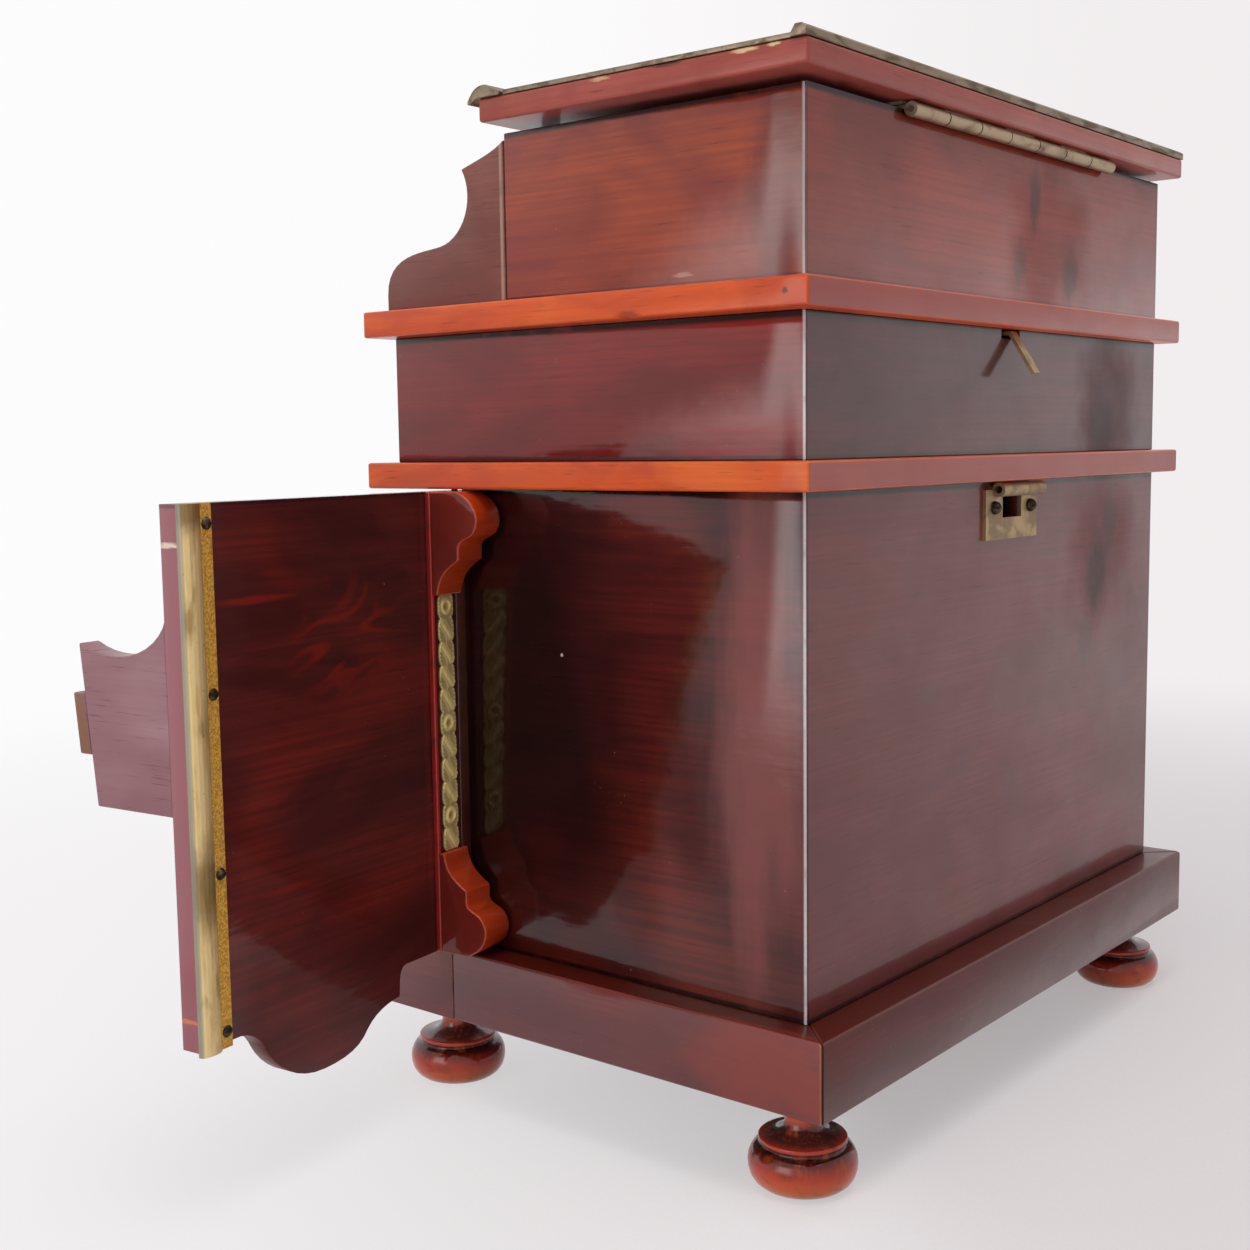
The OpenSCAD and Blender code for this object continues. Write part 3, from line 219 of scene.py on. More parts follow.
def lacquered(name, deep, body, warm, worn, gloss=1.0, coat_rough=0.06, rub=0.6, grain=0.5, dust=0.5,
              figure_mm=34, seed=0.0, lying=None, end=None, broad=None, rolled=None,
              spots=(), veils=(), lines=(), figured=()):
    """Sliced veneer under tinted lacquer: fine level grain and a broad red and brown figure lie below a clear
    gloss that shows a soft picture of the room, and the stain is thin and paler where arrises are rubbed.
    lying, end and broad are colours laid on faces square to z, x and y: stains, and on the belt and the
    corbels a painted sheen and painted shade set by a face's direction. Spots and lines lay blots and lines
    of colour, among them painted shade and painted reflections; veils take the gloss off in places."""
    material, tree = new_material(name)
    place = add(tree, "TexCoord", out="Object")
    level = patches(tree, place, (70, 70, 1.0), 0.35, 0.65, detail=4)
    flat = patches(tree, place, (70, 1.0, 70), 0.35, 0.65, detail=4)
    fibres = add(tree, "Mix", {0: facing(tree, 2), 2: level, 3: flat})
    layers = veneer_figure(tree, place, fibres, (deep, body, warm), figure_mm, seed, grain)
    if lying:
        layers.append((facing(tree, 2), lying))
    if end:
        layers.append((add(tree, "Math", [facing(tree, 0), 0.85], operation="MULTIPLY"), end))
    if broad:
        layers.append((add(tree, "Math", [facing(tree, 1), 0.8], operation="MULTIPLY"), broad))
    for at_mm, radii_mm, size_mm, colour in figured:
        flame = flames(tree, place, size_mm, 0.085, at=(seed, 0, 0))
        within = spot(tree, place, at_mm, radii_mm, 0.75)
        layers.append((add(tree, "Math", [flame, within], operation="MULTIPLY"), colour))
    layers += handling_marks(tree, place, worn, rub, seed, dust)
    layers += [(line(tree, place, *where), colour) for *where, colour in lines]
    layers += [(spot(tree, place, *where), colour) for *where, colour in spots]

    shine = patches(tree, place, (60, 60, 40), 0.2, 0.8, gloss, 0.85 * gloss)
    if lying:
        duller = add(tree, "Math", [facing(tree, 2), -0.6, 1.0], operation="MULTIPLY_ADD")
        shine = add(tree, "Math", [shine, duller], operation="MULTIPLY")
    for where in veils:
        veil = add(tree, "Math", [1.0, spot(tree, place, *where)], operation="SUBTRACT")
        shine = add(tree, "Math", [shine, veil], operation="MULTIPLY")
    normal = lacquer_relief(tree, place, fibres, rolled)
    rough = patches(tree, place, (20, 20, 14), 0.3, 0.7, 0.5, 0.38, at=(2, 8, 5))
    shader = add(tree, "BsdfPrincipled", {
        "Base Color": laid_over(tree, linear(deep), layers), "Roughness": rough, "IOR": 1.5,
        "Specular IOR Level": 0.25, "Specular Tint": linear(warm), "Normal": normal, "Coat Weight": shine,
        "Coat Roughness": coat_rough, "Coat IOR": 1.5, "Coat Normal": normal})
    add(tree, "OutputMaterial", [shader])
    return material


def turned_feet(name, bands, top_mm):
    """Lathe-turned beech under gloss lacquer, coloured in bands up its height: stain gathers dark in the
    grooves and thins to orange on the crown, and the same bands hold painted light, a painted highlight on
    the bulb, painted shade in the quirk and the dish under the plinth, and a painted lift on the waist and
    collar in the plinth's shade. Fine rings from the tool run round it."""
    material, tree = new_material(name)
    place = add(tree, "TexCoord", out="Object")
    share = add(tree, "Math", [add(tree, "SeparateXYZ", [place], 2), top_mm * MM], operation="DIVIDE")
    # the bands up the foot: stain, with a painted highlight and painted shade where light and shade fall on
    # it
    stain = add(tree, "ValToRGB", [share])
    ends = stain.node.color_ramp.elements
    ends[0].position, ends[0].color = bands[0][0], linear(bands[0][1])
    ends[1].position, ends[1].color = bands[-1][0], linear(bands[-1][1])
    for position, colour in bands[1:-1]:
        ends.new(position).color = linear(colour)
    colour = laid_over(tree, stain, [
        (patches(tree, place, (5, 5, 3), 0.5, 0.75, 0.5, detail=4, distortion=0.6), "#4a140e"),
        (patches(tree, place, (3, 3, 5), 0.55, 0.75, 0.5, at=(3, 3, 3), detail=4), "#c8602c"),
        (patches(tree, place, (0.8, 0.8, 14), 0.5, 0.7, 0.3), "#b85026")])
    rings = patches(tree, place, (60, 60, 0.5), 0.0, 1.0, detail=2)
    shader = add(tree, "BsdfPrincipled", {
        "Base Color": colour, "Roughness": 0.42, "IOR": 1.5, "Specular IOR Level": 0.2,
        "Specular Tint": linear("#c85030"), "Normal": relief(tree, [(rings, 0.03)]), "Coat Weight": 0.75,
        "Coat Roughness": 0.09, "Coat IOR": 1.5})
    add(tree, "OutputMaterial", [shader])
    return material


def bare_wood(name, pale, dark):
    """Planed softwood left bare: matt, straw-coloured, with darker growth lines."""
    material, tree = new_material(name)
    place = add(tree, "TexCoord", out="Object")
    growth = patches(tree, place, (60, 60, 1.1), 0.35, 0.65, detail=4)
    stains = patches(tree, place, (22, 22, 22), 0.5, 0.8, 0.3)
    shader = add(tree, "BsdfPrincipled", {
        "Base Color": laid_over(tree, linear(dark), [(growth, pale), (stains, "#6f4a30")]), "Roughness": 0.62,
        "IOR": 1.5, "Normal": relief(tree, [(growth, 0.05)])})
    add(tree, "OutputMaterial", [shader])
    return material


# ---------- metals ----------
def aged_brass(name, bright, tarnish, thick=0.55, rough=0.38, patch_mm=(4, 4, 4), rub=0.6, metal=0.92,
               hollow_grime_and_shade=None, joints=()):
    """Rolled brass gone dull: warm yellow where handled, brown tarnish in clouds, fine pits all over. A
    stamped relief's hollows are darkened, as grime and as painted shade, and joints between knuckles are
    dark."""
    material, tree = new_material(name)
    place = add(tree, "TexCoord", out="Object")
    clouds = patches(tree, place, patch_mm, thick - 0.12, thick + 0.12, detail=5, distortion=0.5)
    handled = add(tree, "Math", [arrises(tree, 0.2), -rub, 1.0], operation="MULTIPLY_ADD")
    dull = add(tree, "Math", [clouds, handled], operation="MULTIPLY")
    layers = [(dull, tarnish)]
    if hollow_grime_and_shade:
        # the low places of a stamped relief are darkened: grime, and painted shade in its hollows
        height = add(tree, "Attribute", out="Fac", attribute_name="relief_mm")
        layers.append((add(tree, "MapRange", [height, 0.5, 0.26, 0.0, 0.6]), hollow_grime_and_shade))
    layers += [(line(tree, place, X, at_mm, 0.35), "#14100c") for at_mm in joints]
    pits = patches(tree, place, (0.5, 0.5, 0.5), 0.0, 1.0, detail=2)
    shader = add(tree, "BsdfPrincipled", {
        "Base Color": laid_over(tree, linear(bright), layers), "Metallic": metal,
        "Normal": relief(tree, [(pits, 0.02)]),
        "Roughness": add(tree, "MapRange", [dull, 0.0, 1.0, rough, rough + 0.2])})
    add(tree, "OutputMaterial", [shader])
    return material


def astragal_brass(name):
    """Rolled brass astragal: a pale half-round, rubbed bright and painted paler as a highlight on its lit
    side, a brown line of painted shade in its quirk, and a flat that keeps its gold under a fine stipple."""
    material, tree = new_material(name)
    place = add(tree, "TexCoord", out="Object")
    ahead = (math.cos(DOOR_TURN), math.sin(DOOR_TURN), 0)
    quirk_point = door_point(QUIRK_S, 0, 0, 1)
    quirk_at = quirk_point[0] * ahead[0] + quirk_point[1] * ahead[1]
    across = add(tree, "VectorMath", [place, ahead], "Value", operation="DOT_PRODUCT")
    across = add(tree, "Math", [across, quirk_at], operation="SUBTRACT")
    flat = add(tree, "MapRange", [across, 0.1 * MM, -0.1 * MM, 0.0, 1.0])
    off = add(tree, "Math", [across], operation="ABSOLUTE")
    # the brown line in the quirk is painted shade
    quirk = add(tree, "MapRange", [off, 0.6 * MM, 0.1 * MM, 0.0, 0.8])
    lip = add(tree, "MapRange", [across, 4.7 * MM, 5.1 * MM, 0.0, 0.85])
    stipple = patches(tree, place, (0.5, 0.5, 0.5), 0.35, 0.65, detail=2)
    brown = patches(tree, place, (4, 4, 16), 0.5, 0.68, 0.8, at=(0, 3, 1), detail=4, distortion=0.6)
    streaks = patches(tree, place, (1.6, 1.6, 9), 0.45, 0.7, 0.6, detail=4)
    flecks = patches(tree, place, (0.7, 0.7, 1.2), 0.68, 0.76, 0.8, at=(2, 5, 3))
    pits = add(tree, "Math", [flat, stipple], operation="MULTIPLY")
    # the pale base colour of the half-round is partly a painted highlight on its lit side
    colour = laid_over(tree, linear("#f2d89c"), [
        (streaks, "#dcb874"), (brown, "#a88850"), (flecks, "#5c4426"),
        (spot(tree, place, door_point(80, -2, 66, 1, 1), (6, 6, 12), 0.8), "#8f7444"),
        (spot(tree, place, door_point(80, -2, 137, 1, 1), (6, 6, 6), 0.85), "#8a6c3c"),
        (quirk, "#a87c3c"), (flat, "#eebc54"), (pits, "#c0923c"), (lip, "#84827a")])
    rough = add(tree, "MapRange", [flat, 0.0, 1.0, 0.5, 0.65])
    shader = add(tree, "BsdfPrincipled", {
        "Base Color": colour, "Metallic": 0.6, "Roughness": rough,
        "Normal": relief(tree, [(pits, 0.05), (stipple, 0.01)])})
    add(tree, "OutputMaterial", [shader])
    return material


def plain_steel(name, pale, dark, rough=0.35):
    """Drawn or ground steel: grey with fine lines from the grinding and a few dark spots of old oil."""
    material, tree = new_material(name)
    place = add(tree, "TexCoord", out="Object")
    scratches = patches(tree, place, (0.6, 8, 8), 0.3, 0.7)
    oil = patches(tree, place, (2, 2, 2), 0.55, 0.75, 0.6, detail=4)
    shader = add(tree, "BsdfPrincipled", {
        "Base Color": laid_over(tree, linear(dark), [(scratches, pale), (oil, "#3a3430")]), "Metallic": 1.0,
        "Roughness": add(tree, "MapRange", [scratches, 0.0, 1.0, rough, rough + 0.15])})
    add(tree, "OutputMaterial", [shader])
    return material


def even_surface(name, pale, dark, rough=0.7, size_mm=1.2, metal=0.0):
    """Cast, moulded or tanned surface: even, with a fine mottle."""
    material, tree = new_material(name)
    place = add(tree, "TexCoord", out="Object")
    mottle = patches(tree, place, (size_mm,) * 3, 0.3, 0.7, detail=4)
    shader = add(tree, "BsdfPrincipled", {
        "Base Color": laid_over(tree, linear(dark), [(mottle, pale)]), "Metallic": metal,
        "Roughness": add(tree, "MapRange", [mottle, 0.0, 1.0, rough - 0.1, rough]),
        "Normal": relief(tree, [(mottle, 0.05)])})
    add(tree, "OutputMaterial", [shader])
    return material


# ---------- stage ----------
WINDOW_SIDE = (0.632, -0.775, 0.0)
FLOOR_HALF = 6.0
ROOM_LIGHT = 0.42


def backdrop(tree, direction):
    """White towards the window, a warm grey white away from it, and whether a ray sees it or is lit by it."""
    aside = add(tree, "VectorMath", [direction, WINDOW_SIDE], "Value", operation="DOT_PRODUCT")
    near = add(tree, "MapRange", [aside, -0.3, 0.1, 0.0, 1.0], interpolation_type="SMOOTHSTEP")
    white = laid_over(tree, linear("#f2eeef"), [(near, "#fdfcfd")])
    seen = add(tree, "LightPath", out="Is Camera Ray")
    for ray in ("Is Glossy Ray", "Is Transmission Ray"):
        seen = add(tree, "Math", [seen, add(tree, "LightPath", out=ray)], operation="MAXIMUM")
    return white, seen


def paper_floor():
    """Pale paper with a faint fibre. Further off it runs into the white backdrop with no line between."""
    material, tree = new_material("pale_paper_floor")
    place = add(tree, "TexCoord", out="Object")
    reach = add(tree, "VectorMath", [place], "Value", operation="LENGTH")
    aside = add(tree, "VectorMath", [place, WINDOW_SIDE], "Value", operation="DOT_PRODUCT")
    # seen by the camera, the floor near the piece is part white, more so towards the window: painted light
    # that makes the floor and its shadows lighter on the window's side
    close = add(tree, "MapRange", [aside, -0.08, 0.25, 0.42, 0.8], interpolation_type="SMOOTHSTEP")
    far = add(tree, "MapRange", [reach, 0.2, 0.7, 0.0, 1.0], interpolation_type="SMOOTHSTEP")
    far = add(tree, "Mix", {0: far, 2: close, 3: 1.0})
    fibre = patches(tree, place, (0.8, 0.8, 0.8), 0.3, 0.7, detail=2)
    paper = add(tree, "BsdfDiffuse", [laid_over(tree, linear("#e2dddf"), [(fibre, "#e6e1e3")])])
    direction = add(tree, "VectorMath", [place], operation="NORMALIZE")
    white, seen = backdrop(tree, direction)
    white = add(tree, "Emission", [white, 1.0])
    share = add(tree, "Math", [far, seen], operation="MULTIPLY")
    add(tree, "OutputMaterial", [add(tree, "MixShader", [share, paper, white])])
    return material


def make_stage():
    """The floor, and a world that lights evenly and is seen as white."""
    mesh = bpy.data.meshes.new("floor")
    corners = [(-FLOOR_HALF, -FLOOR_HALF, 0), (FLOOR_HALF, -FLOOR_HALF, 0),
               (FLOOR_HALF, FLOOR_HALF, 0), (-FLOOR_HALF, FLOOR_HALF, 0)]
    mesh.from_pydata(corners, [], [(0, 1, 2, 3)])
    floor = bpy.data.objects.new("floor", mesh)
    bpy.context.collection.objects.link(floor)
    mesh.materials.append(paper_floor())

    world = bpy.data.worlds.new("studio")
    bpy.context.scene.world = world
    world.use_nodes = True
    tree = world.node_tree
    tree.nodes.clear()
    white, seen = backdrop(tree, add(tree, "TexCoord", out="Generated"))
    light = add(tree, "Background", [linear("#f6f4f6"), ROOM_LIGHT])
    white = add(tree, "Background", [white, 1.0])
    add(tree, "OutputWorld", [add(tree, "MixShader", [seen, light, white])])


def soft_window(name, at, aim, size, watts, fade):
    """A square lamp whose light fades out towards its edges, as a curtained window's does."""
    data = bpy.data.lights.new(name, "AREA")
    data.shape = "RECTANGLE"
    data.size = data.size_y = size
    data.energy = watts
    data.use_nodes = True
    tree = data.node_tree
    tree.nodes.clear()
    spread = add(tree, "NewGeometry", out="Parametric")
    away = 0.0
    for axis in (0, 1):
        off = distance_from(tree, add(tree, "SeparateXYZ", [spread], axis), 0.5)
        away = add(tree, "Math", [off, away], operation="MAXIMUM")
    strength = add(tree, "MapRange", [away, 0.5, 0.5 - fade, 0.0, 1.0], interpolation_type="SMOOTHSTEP")
    add(tree, "OutputLight", [add(tree, "Emission", [linear("#fffdfb"), strength])])
    lamp = bpy.data.objects.new(name, data)
    lamp.location = at
    lamp.rotation_euler = (Vector(aim) - Vector(at)).to_track_quat("-Z", "Y").to_euler()
    lamp.visible_camera = False
    bpy.context.collection.objects.link(lamp)


# ---------- pieces ----------
DOOR_PIVOT_MM = (83.2, -36.5)
DOOR_TURN = math.radians(6.5)
DOOR_ROOT_MM = DOOR_PIVOT_MM[0] * math.cos(DOOR_TURN) + DOOR_PIVOT_MM[1] * math.sin(DOOR_TURN)
QUIRK_S = 77.5


def door_point(s, out, z, side, scale=MM):
    """A point of an open door: s along it from its pivot, out towards its outer face, at height z. Side is 1
    for the right door and -1 for the left."""
    x = DOOR_PIVOT_MM[0] + s * math.cos(DOOR_TURN) + out * math.sin(DOOR_TURN)
    y = DOOR_PIVOT_MM[1] + s * math.sin(DOOR_TURN) - out * math.cos(DOOR_TURN)
    return side * x * scale, y * scale, z * scale


def wear(node, material):
    """Gives a CAD node its material."""
    data = NODES[node].data
    data.materials.clear()
    data.materials.append(material)


def cleaned(mesh, clean):
    """Runs one bmesh step on a mesh."""
    work = bmesh.new()
    work.from_mesh(mesh)
    clean(work)
    work.to_mesh(mesh)
    work.free()


def outward(work):
    bmesh.ops.recalc_face_normals(work, faces=work.faces)


def merged(work):
    bmesh.ops.remove_doubles(work, verts=work.verts, dist=0.002 * MM)
    bmesh.ops.dissolve_limit(work, angle_limit=math.radians(0.3), verts=work.verts, edges=work.edges)


def stand_for(node, mesh, material, body):
    """Puts a mesh in a CAD node's place, riding on its body."""
    mesh.materials.clear()
    mesh.materials.append(material)
    piece = bpy.data.objects.new(node + "_finished", mesh)
    bpy.context.collection.objects.link(piece)
    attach(piece, body)
    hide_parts(node)
    return piece


def round_over(piece, width_mm):
    """Rounds a board's arrises, as sanding leaves them."""
    for face in piece.data.polygons:
        face.use_smooth = True
    sanded = piece.modifiers.new("arris", "BEVEL")
    sanded.width = width_mm * MM
    sanded.segments = 3
    sanded.limit_method = "ANGLE"
    sanded.angle_limit = math.radians(38)
    sanded.harden_normals = True
    sanded.use_clamp_overlap = True


def eased(node, material, width_mm, body):
    """The same board with rounded arrises."""
    mesh = NODES[node].data.copy()
    mesh.name = node + "_finished"
    cleaned(mesh, merged)
    round_over(stand_for(node, mesh, material, body), width_mm)


def pierced(node, material, width_mm, us, inner_us, vs, gaps, point):
    """A board with square holes, laid out as a grid of squares so that each face stays flat."""
    verts, faces, index = [], [], {}

    def corner(i, j, face):
        if (i, j, face) not in index:
            index[i, j, face] = len(verts)
            verts.append([c * MM for c in point((us, inner_us)[face][i], vs[j], face)])
        return index[i, j, face]

    cells = {(i, j) for i in range(len(us) - 1) for j in range(len(vs) - 1)} - set(gaps)
    for i, j in sorted(cells):
        ring = [(i, j), (i + 1, j), (i + 1, j + 1), (i, j + 1)]
        faces.append([corner(a, b, 0) for a, b in ring])
        faces.append([corner(a, b, 1) for a, b in reversed(ring)])
        for step, (di, dj) in enumerate([(0, -1), (1, 0), (0, 1), (-1, 0)]):
            if (i + di, j + dj) not in cells:
                (a, b), (c, d) = ring[step], ring[(step + 1) % 4]
                faces.append([corner(c, d, 0), corner(a, b, 0), corner(a, b, 1), corner(c, d, 1)])
    mesh = bpy.data.meshes.new(node + "_finished")
    mesh.from_pydata(verts, [], faces)
    mesh.update()
    cleaned(mesh, outward)
    round_over(stand_for(node, mesh, material, "cabinet"), width_mm)


# one turned foot from the floor up, as radius and height
BULB = [(0, 0), (6.2, 0), (7.6, 0.15), (8.9, 0.65), (9.9, 1.45), (10.6, 2.5), (11.0, 3.8), (11.1, 5.1),
        (10.95, 6.3), (10.5, 7.4), (9.9, 8.25)]
QUIRK_AND_RIM = [(9.2, 8.5), (8.75, 8.75), (8.6, 9.1), (8.75, 9.45), (8.97, 9.7), (8.97, 10.2), (8.8, 10.4)]
DISH = [(8.5, 10.45), (7.2, 10.6), (5.9, 10.9), (4.9, 11.4), (4.1, 12.2)]
WAIST = [(3.65, 13.2), (3.52, 14.2), (3.65, 15.0), (4.3, 15.8), (5.6, 16.5)]
COLLAR = [(7.2, 17.0), (8.3, 17.45), (8.63, 17.8), (8.63, FOOT_TOP), (0, FOOT_TOP)]


def turned_foot_mesh(centres, sides=72):
    """Lathe-turned feet: bulb, quirk, rim, dished top, waist and a collar under the plinth."""
    outline = BULB + QUIRK_AND_RIM + DISH + WAIST + COLLAR
    verts, faces = [], []
    for x, y in centres:
        low, high = len(verts), len(verts) + 1
        verts += [(x * MM, y * MM, 0.0), (x * MM, y * MM, outline[-1][1] * MM)]
        first, rings = len(verts), outline[1:-1]
        for r, z in rings:
            turns = [math.tau * k / sides for k in range(sides)]
            verts += [((x + r * math.cos(t)) * MM, (y + r * math.sin(t)) * MM, z * MM) for t in turns]
        for k in range(sides):
            n = (k + 1) % sides
            faces.append((low, first + n, first + k))
            for ring in range(len(rings) - 1):
                a, b = first + ring * sides, first + (ring + 1) * sides
                faces.append((a + k, a + n, b + n, b + k))
            top = first + (len(rings) - 1) * sides
            faces.append((high, top + k, top + n))
    mesh = bpy.data.meshes.new("bun_feet_finished")
    mesh.from_pydata(verts, [], faces)
    mesh.update()
    for face in mesh.polygons:
        face.use_smooth = True
    mesh.set_sharp_from_angle(angle=math.radians(50))
    return mesh


# the stamped strip: its place on the door, its leaves and the pins' rings among them
STRIP_Z, STRIP_LENGTH, STRIP_MIDDLE_S, STRIP_OUT, STRIP_HALF_W = 58.5, 57.4, 7.8, -2.6, 2.6
LEAVES, RING_LEAVES = 11, (1, 5, 10)
ROWS_EACH, COLUMNS = 24, 20
SHEET, BEAD_PITCH = 0.30, 0.9


def ridge(off, width):
    """Height of a rounded ridge at a distance from its middle, as a share of its full height."""
    return math.exp(-(off / width) ** 2)


def stamped_height(across, half_w, t, leaf, z):
    """How far the strip stands up at a place: a beaded edge, and a leaning leaf or a ring round a pin."""
    edge = half_w - abs(across)
    high = SHEET + 0.22 * ridge(edge - 0.35, 0.22) * (0.55 + 0.45 * math.cos(math.tau * z / BEAD_PITCH))
    if leaf in RING_LEAVES:
        reach = math.hypot(across, t * STRIP_LENGTH / LEAVES)
        return high + 0.42 * ridge(reach - 1.35, 0.42) - 0.22 * math.exp(-(reach / 0.55) ** 4)
    lean = across - 1.5 * math.sin(math.pi * t)
    high += 0.45 * ridge(lean, 0.75) * math.cos(math.pi * t) ** 0.5
    return high + 0.14 * ridge(abs(lean) - 1.35, 0.25) - 0.12 * ridge(lean, 0.16)


def stamped_strip(node, material, side, body):
    """Thin brass strip stamped in relief: leaves that lap like a rope, with a ring round each of three pins,
    between scalloped and beaded edges."""
    rows = LEAVES * ROWS_EACH
    verts, faces, heights = [], [], []
    for row in range(rows + 1):
        leaf = min(row // ROWS_EACH, LEAVES - 1)
        t = (row - leaf * ROWS_EACH) / ROWS_EACH - 0.5
        z = STRIP_Z + STRIP_LENGTH * row / rows
        w = STRIP_HALF_W * (1 - 0.26 * abs(2 * t) ** 4)
        for column in range(COLUMNS + 1):
            across = (2 * column / COLUMNS - 1) * w
            high = stamped_height(across, w, t, leaf, z)
            verts.append(door_point(STRIP_MIDDLE_S + across, STRIP_OUT - high, z, side))
            heights.append(high)
        for foot in (-w, w):
            verts.append(door_point(STRIP_MIDDLE_S + foot, STRIP_OUT, z, side))
            heights.append(0.0)
    row_n = COLUMNS + 3
    left_foot, right_foot = COLUMNS + 1, COLUMNS + 2
    for row in range(rows):
        a, b = row * row_n, (row + 1) * row_n
        faces += [(a + c, a + c + 1, b + c + 1, b + c) for c in range(COLUMNS)]
        faces.append((a + COLUMNS, a + right_foot, b + right_foot, b + COLUMNS))
        faces.append((a + right_foot, a + left_foot, b + left_foot, b + right_foot))
        faces.append((a + left_foot, a, b, b + left_foot))
    for a in (0, rows * row_n):
        faces.append((*range(a, a + COLUMNS + 1), a + right_foot, a + left_foot))
    mesh = bpy.data.meshes.new(node + "_finished")
    mesh.from_pydata(verts, [], faces)
    mesh.attributes.new("relief_mm", "FLOAT", "POINT").data.foreach_set("value", heights)
    mesh.update()
    cleaned(mesh, outward)
    for face in mesh.polygons:
        face.use_smooth = True
    stand_for(node, mesh, material, body)


make_camera()
make_stage()
soft_window("window_light", (1.20, -0.10, 0.42), (0.08, 0.05, 0.36), size=1.0, watts=11.0, fade=0.42)
soft_window("top_light", (0.15, 0.20, 1.20), (0.0, 0.0, 0.0), size=0.9, watts=11.0, fade=0.3)

# ---------- the case's finishes ----------
# A finish's four colours are its deep stain, its body, the warm glow in its figure and its worn arrises.
# A spot has its centre, its radii and its strength, and then its colour.
# dark lines where a board meets the next one: direction, level, half width, strength, colour
SEAM = "#140808"
LOWER_SEAMS = [(Z, LOWER_TOP - 0.6, 1.2, 1.0, SEAM), (Z, PLINTH_TOP + 0.5, 0.8, 0.9, SEAM)]
TIER_SEAMS = [(Z, TIER_TOP - 0.6, 1.2, 1.0, SEAM), (Z, TIER_BOTTOM + 0.4, 0.8, 0.8, SEAM)]
UPPER_SEAMS = [(Z, UPPER_BOTTOM + 0.4, 0.9, 0.8, SEAM), (Z, UPPER_TOP - 0.3, 1.3, 1.0, SEAM)]
CORNER_SEAM = [(X, side * (SIDE_X - 0.4), 0.38, 0.75, "#1c0c0c") for side in (1, -1)]
# a pale line down each side board at its back corner: a painted highlight, the rounded corner's reflection of
# the window
PAINTED_CORNER_HIGHLIGHT = [(Y, BACK_Y - 0.35, 0.6, 0.85, "#e0dadc")]
# the side boards fall off towards the back corner: axis, from, to, by how much
ROLLED = (1, 45.5, BACK_Y, 1.25)

# lower side: the large near-black blot is painted shadow and dark reflection of the open door, and the pink
# blot near the back corner is a painted sheen
lower_side = lacquered(
    "mahogany_veneer_gloss_lower_side", "#3a1413", "#5c1e1b", "#7c2a1e", "#b06a58", coat_rough=0.09, seed=0.4,
    rolled=ROLLED, lines=LOWER_SEAMS + PAINTED_CORNER_HIGHLIGHT, veils=[((SIDE_X, 20, 82), (12, 22, 46), 0.65)],
    spots=[((SIDE_X, -22, 92), (20, 50, 80), 0.88, "#160808"),
           ((SIDE_X, -4.3, 103.7), (0.5, 0.5, 0.5), 1.0, "#d8c8b0"),
           ((SIDE_X, 47, 92), (10, 13, 66), 0.5, "#a0524e")])
tier_side = lacquered(
    "mahogany_veneer_gloss_tier_side", "#6c1b17", "#86201c", "#9a2a20", "#c07c64", coat_rough=0.1, seed=1.7,
    rolled=ROLLED, lines=TIER_SEAMS + PAINTED_CORNER_HIGHLIGHT)
# upper side: the dark blot by the back corner is a painted reflection of a dark thing in the room
upper_side = lacquered(
    "mahogany_veneer_gloss_upper_side", "#80291a", "#983a22", "#b64a1e", "#d09068", coat_rough=0.1, seed=3.1,
    figure_mm=28, rolled=ROLLED, lines=UPPER_SEAMS + PAINTED_CORNER_HIGHLIGHT,
    spots=[((SIDE_X, 53, 196), (6, 11, 30), 0.6, "#4c1a20"),
           ((SIDE_X, 29.1, 181.0), (3.0, 3.0, 0.6), 0.6, "#c8a890")])
# lower back: the near-black spot at the keyhole is painted shade inside the hole, and the three dark blots on
# its left are painted reflections of dark things in the room
lower_back = lacquered(
    "mahogany_veneer_gloss_lower_back", "#682d2b", "#763533", "#823a32", "#b07a68", coat_rough=0.12, seed=5.5,
    gloss=0.78, lines=LOWER_SEAMS + CORNER_SEAM, veils=[((-52, BACK_Y, 122), (28, 9, 26), 0.65)],
    spots=[((0, BACK_Y - 3.5, 133), (10, 3.4, 8), 1.0, 0.1, "#060303"),
           ((-49, BACK_Y, 114), (9, 9, 13), 0.7, "#2c1414"),
           ((-57, BACK_Y, 127), (7, 9, 10), 0.6, "#2c1414"),
           ((-43, BACK_Y, 98), (7, 9, 8), 0.5, "#341816")])
# tier back: its dark blot on the left is a painted reflection of a dark thing in the room
tier_back = lacquered(
    "mahogany_veneer_gloss_tier_back", "#4a1c1c", "#5e2426", "#6c2a28", "#b07a68", coat_rough=0.1, seed=6.1,
    lines=TIER_SEAMS + CORNER_SEAM, veils=[((-54, BACK_Y, 154), (24, 9, 30), 0.7)],
    spots=[((-50, BACK_Y, 150), (11, 9, 12), 0.7, "#241012")])
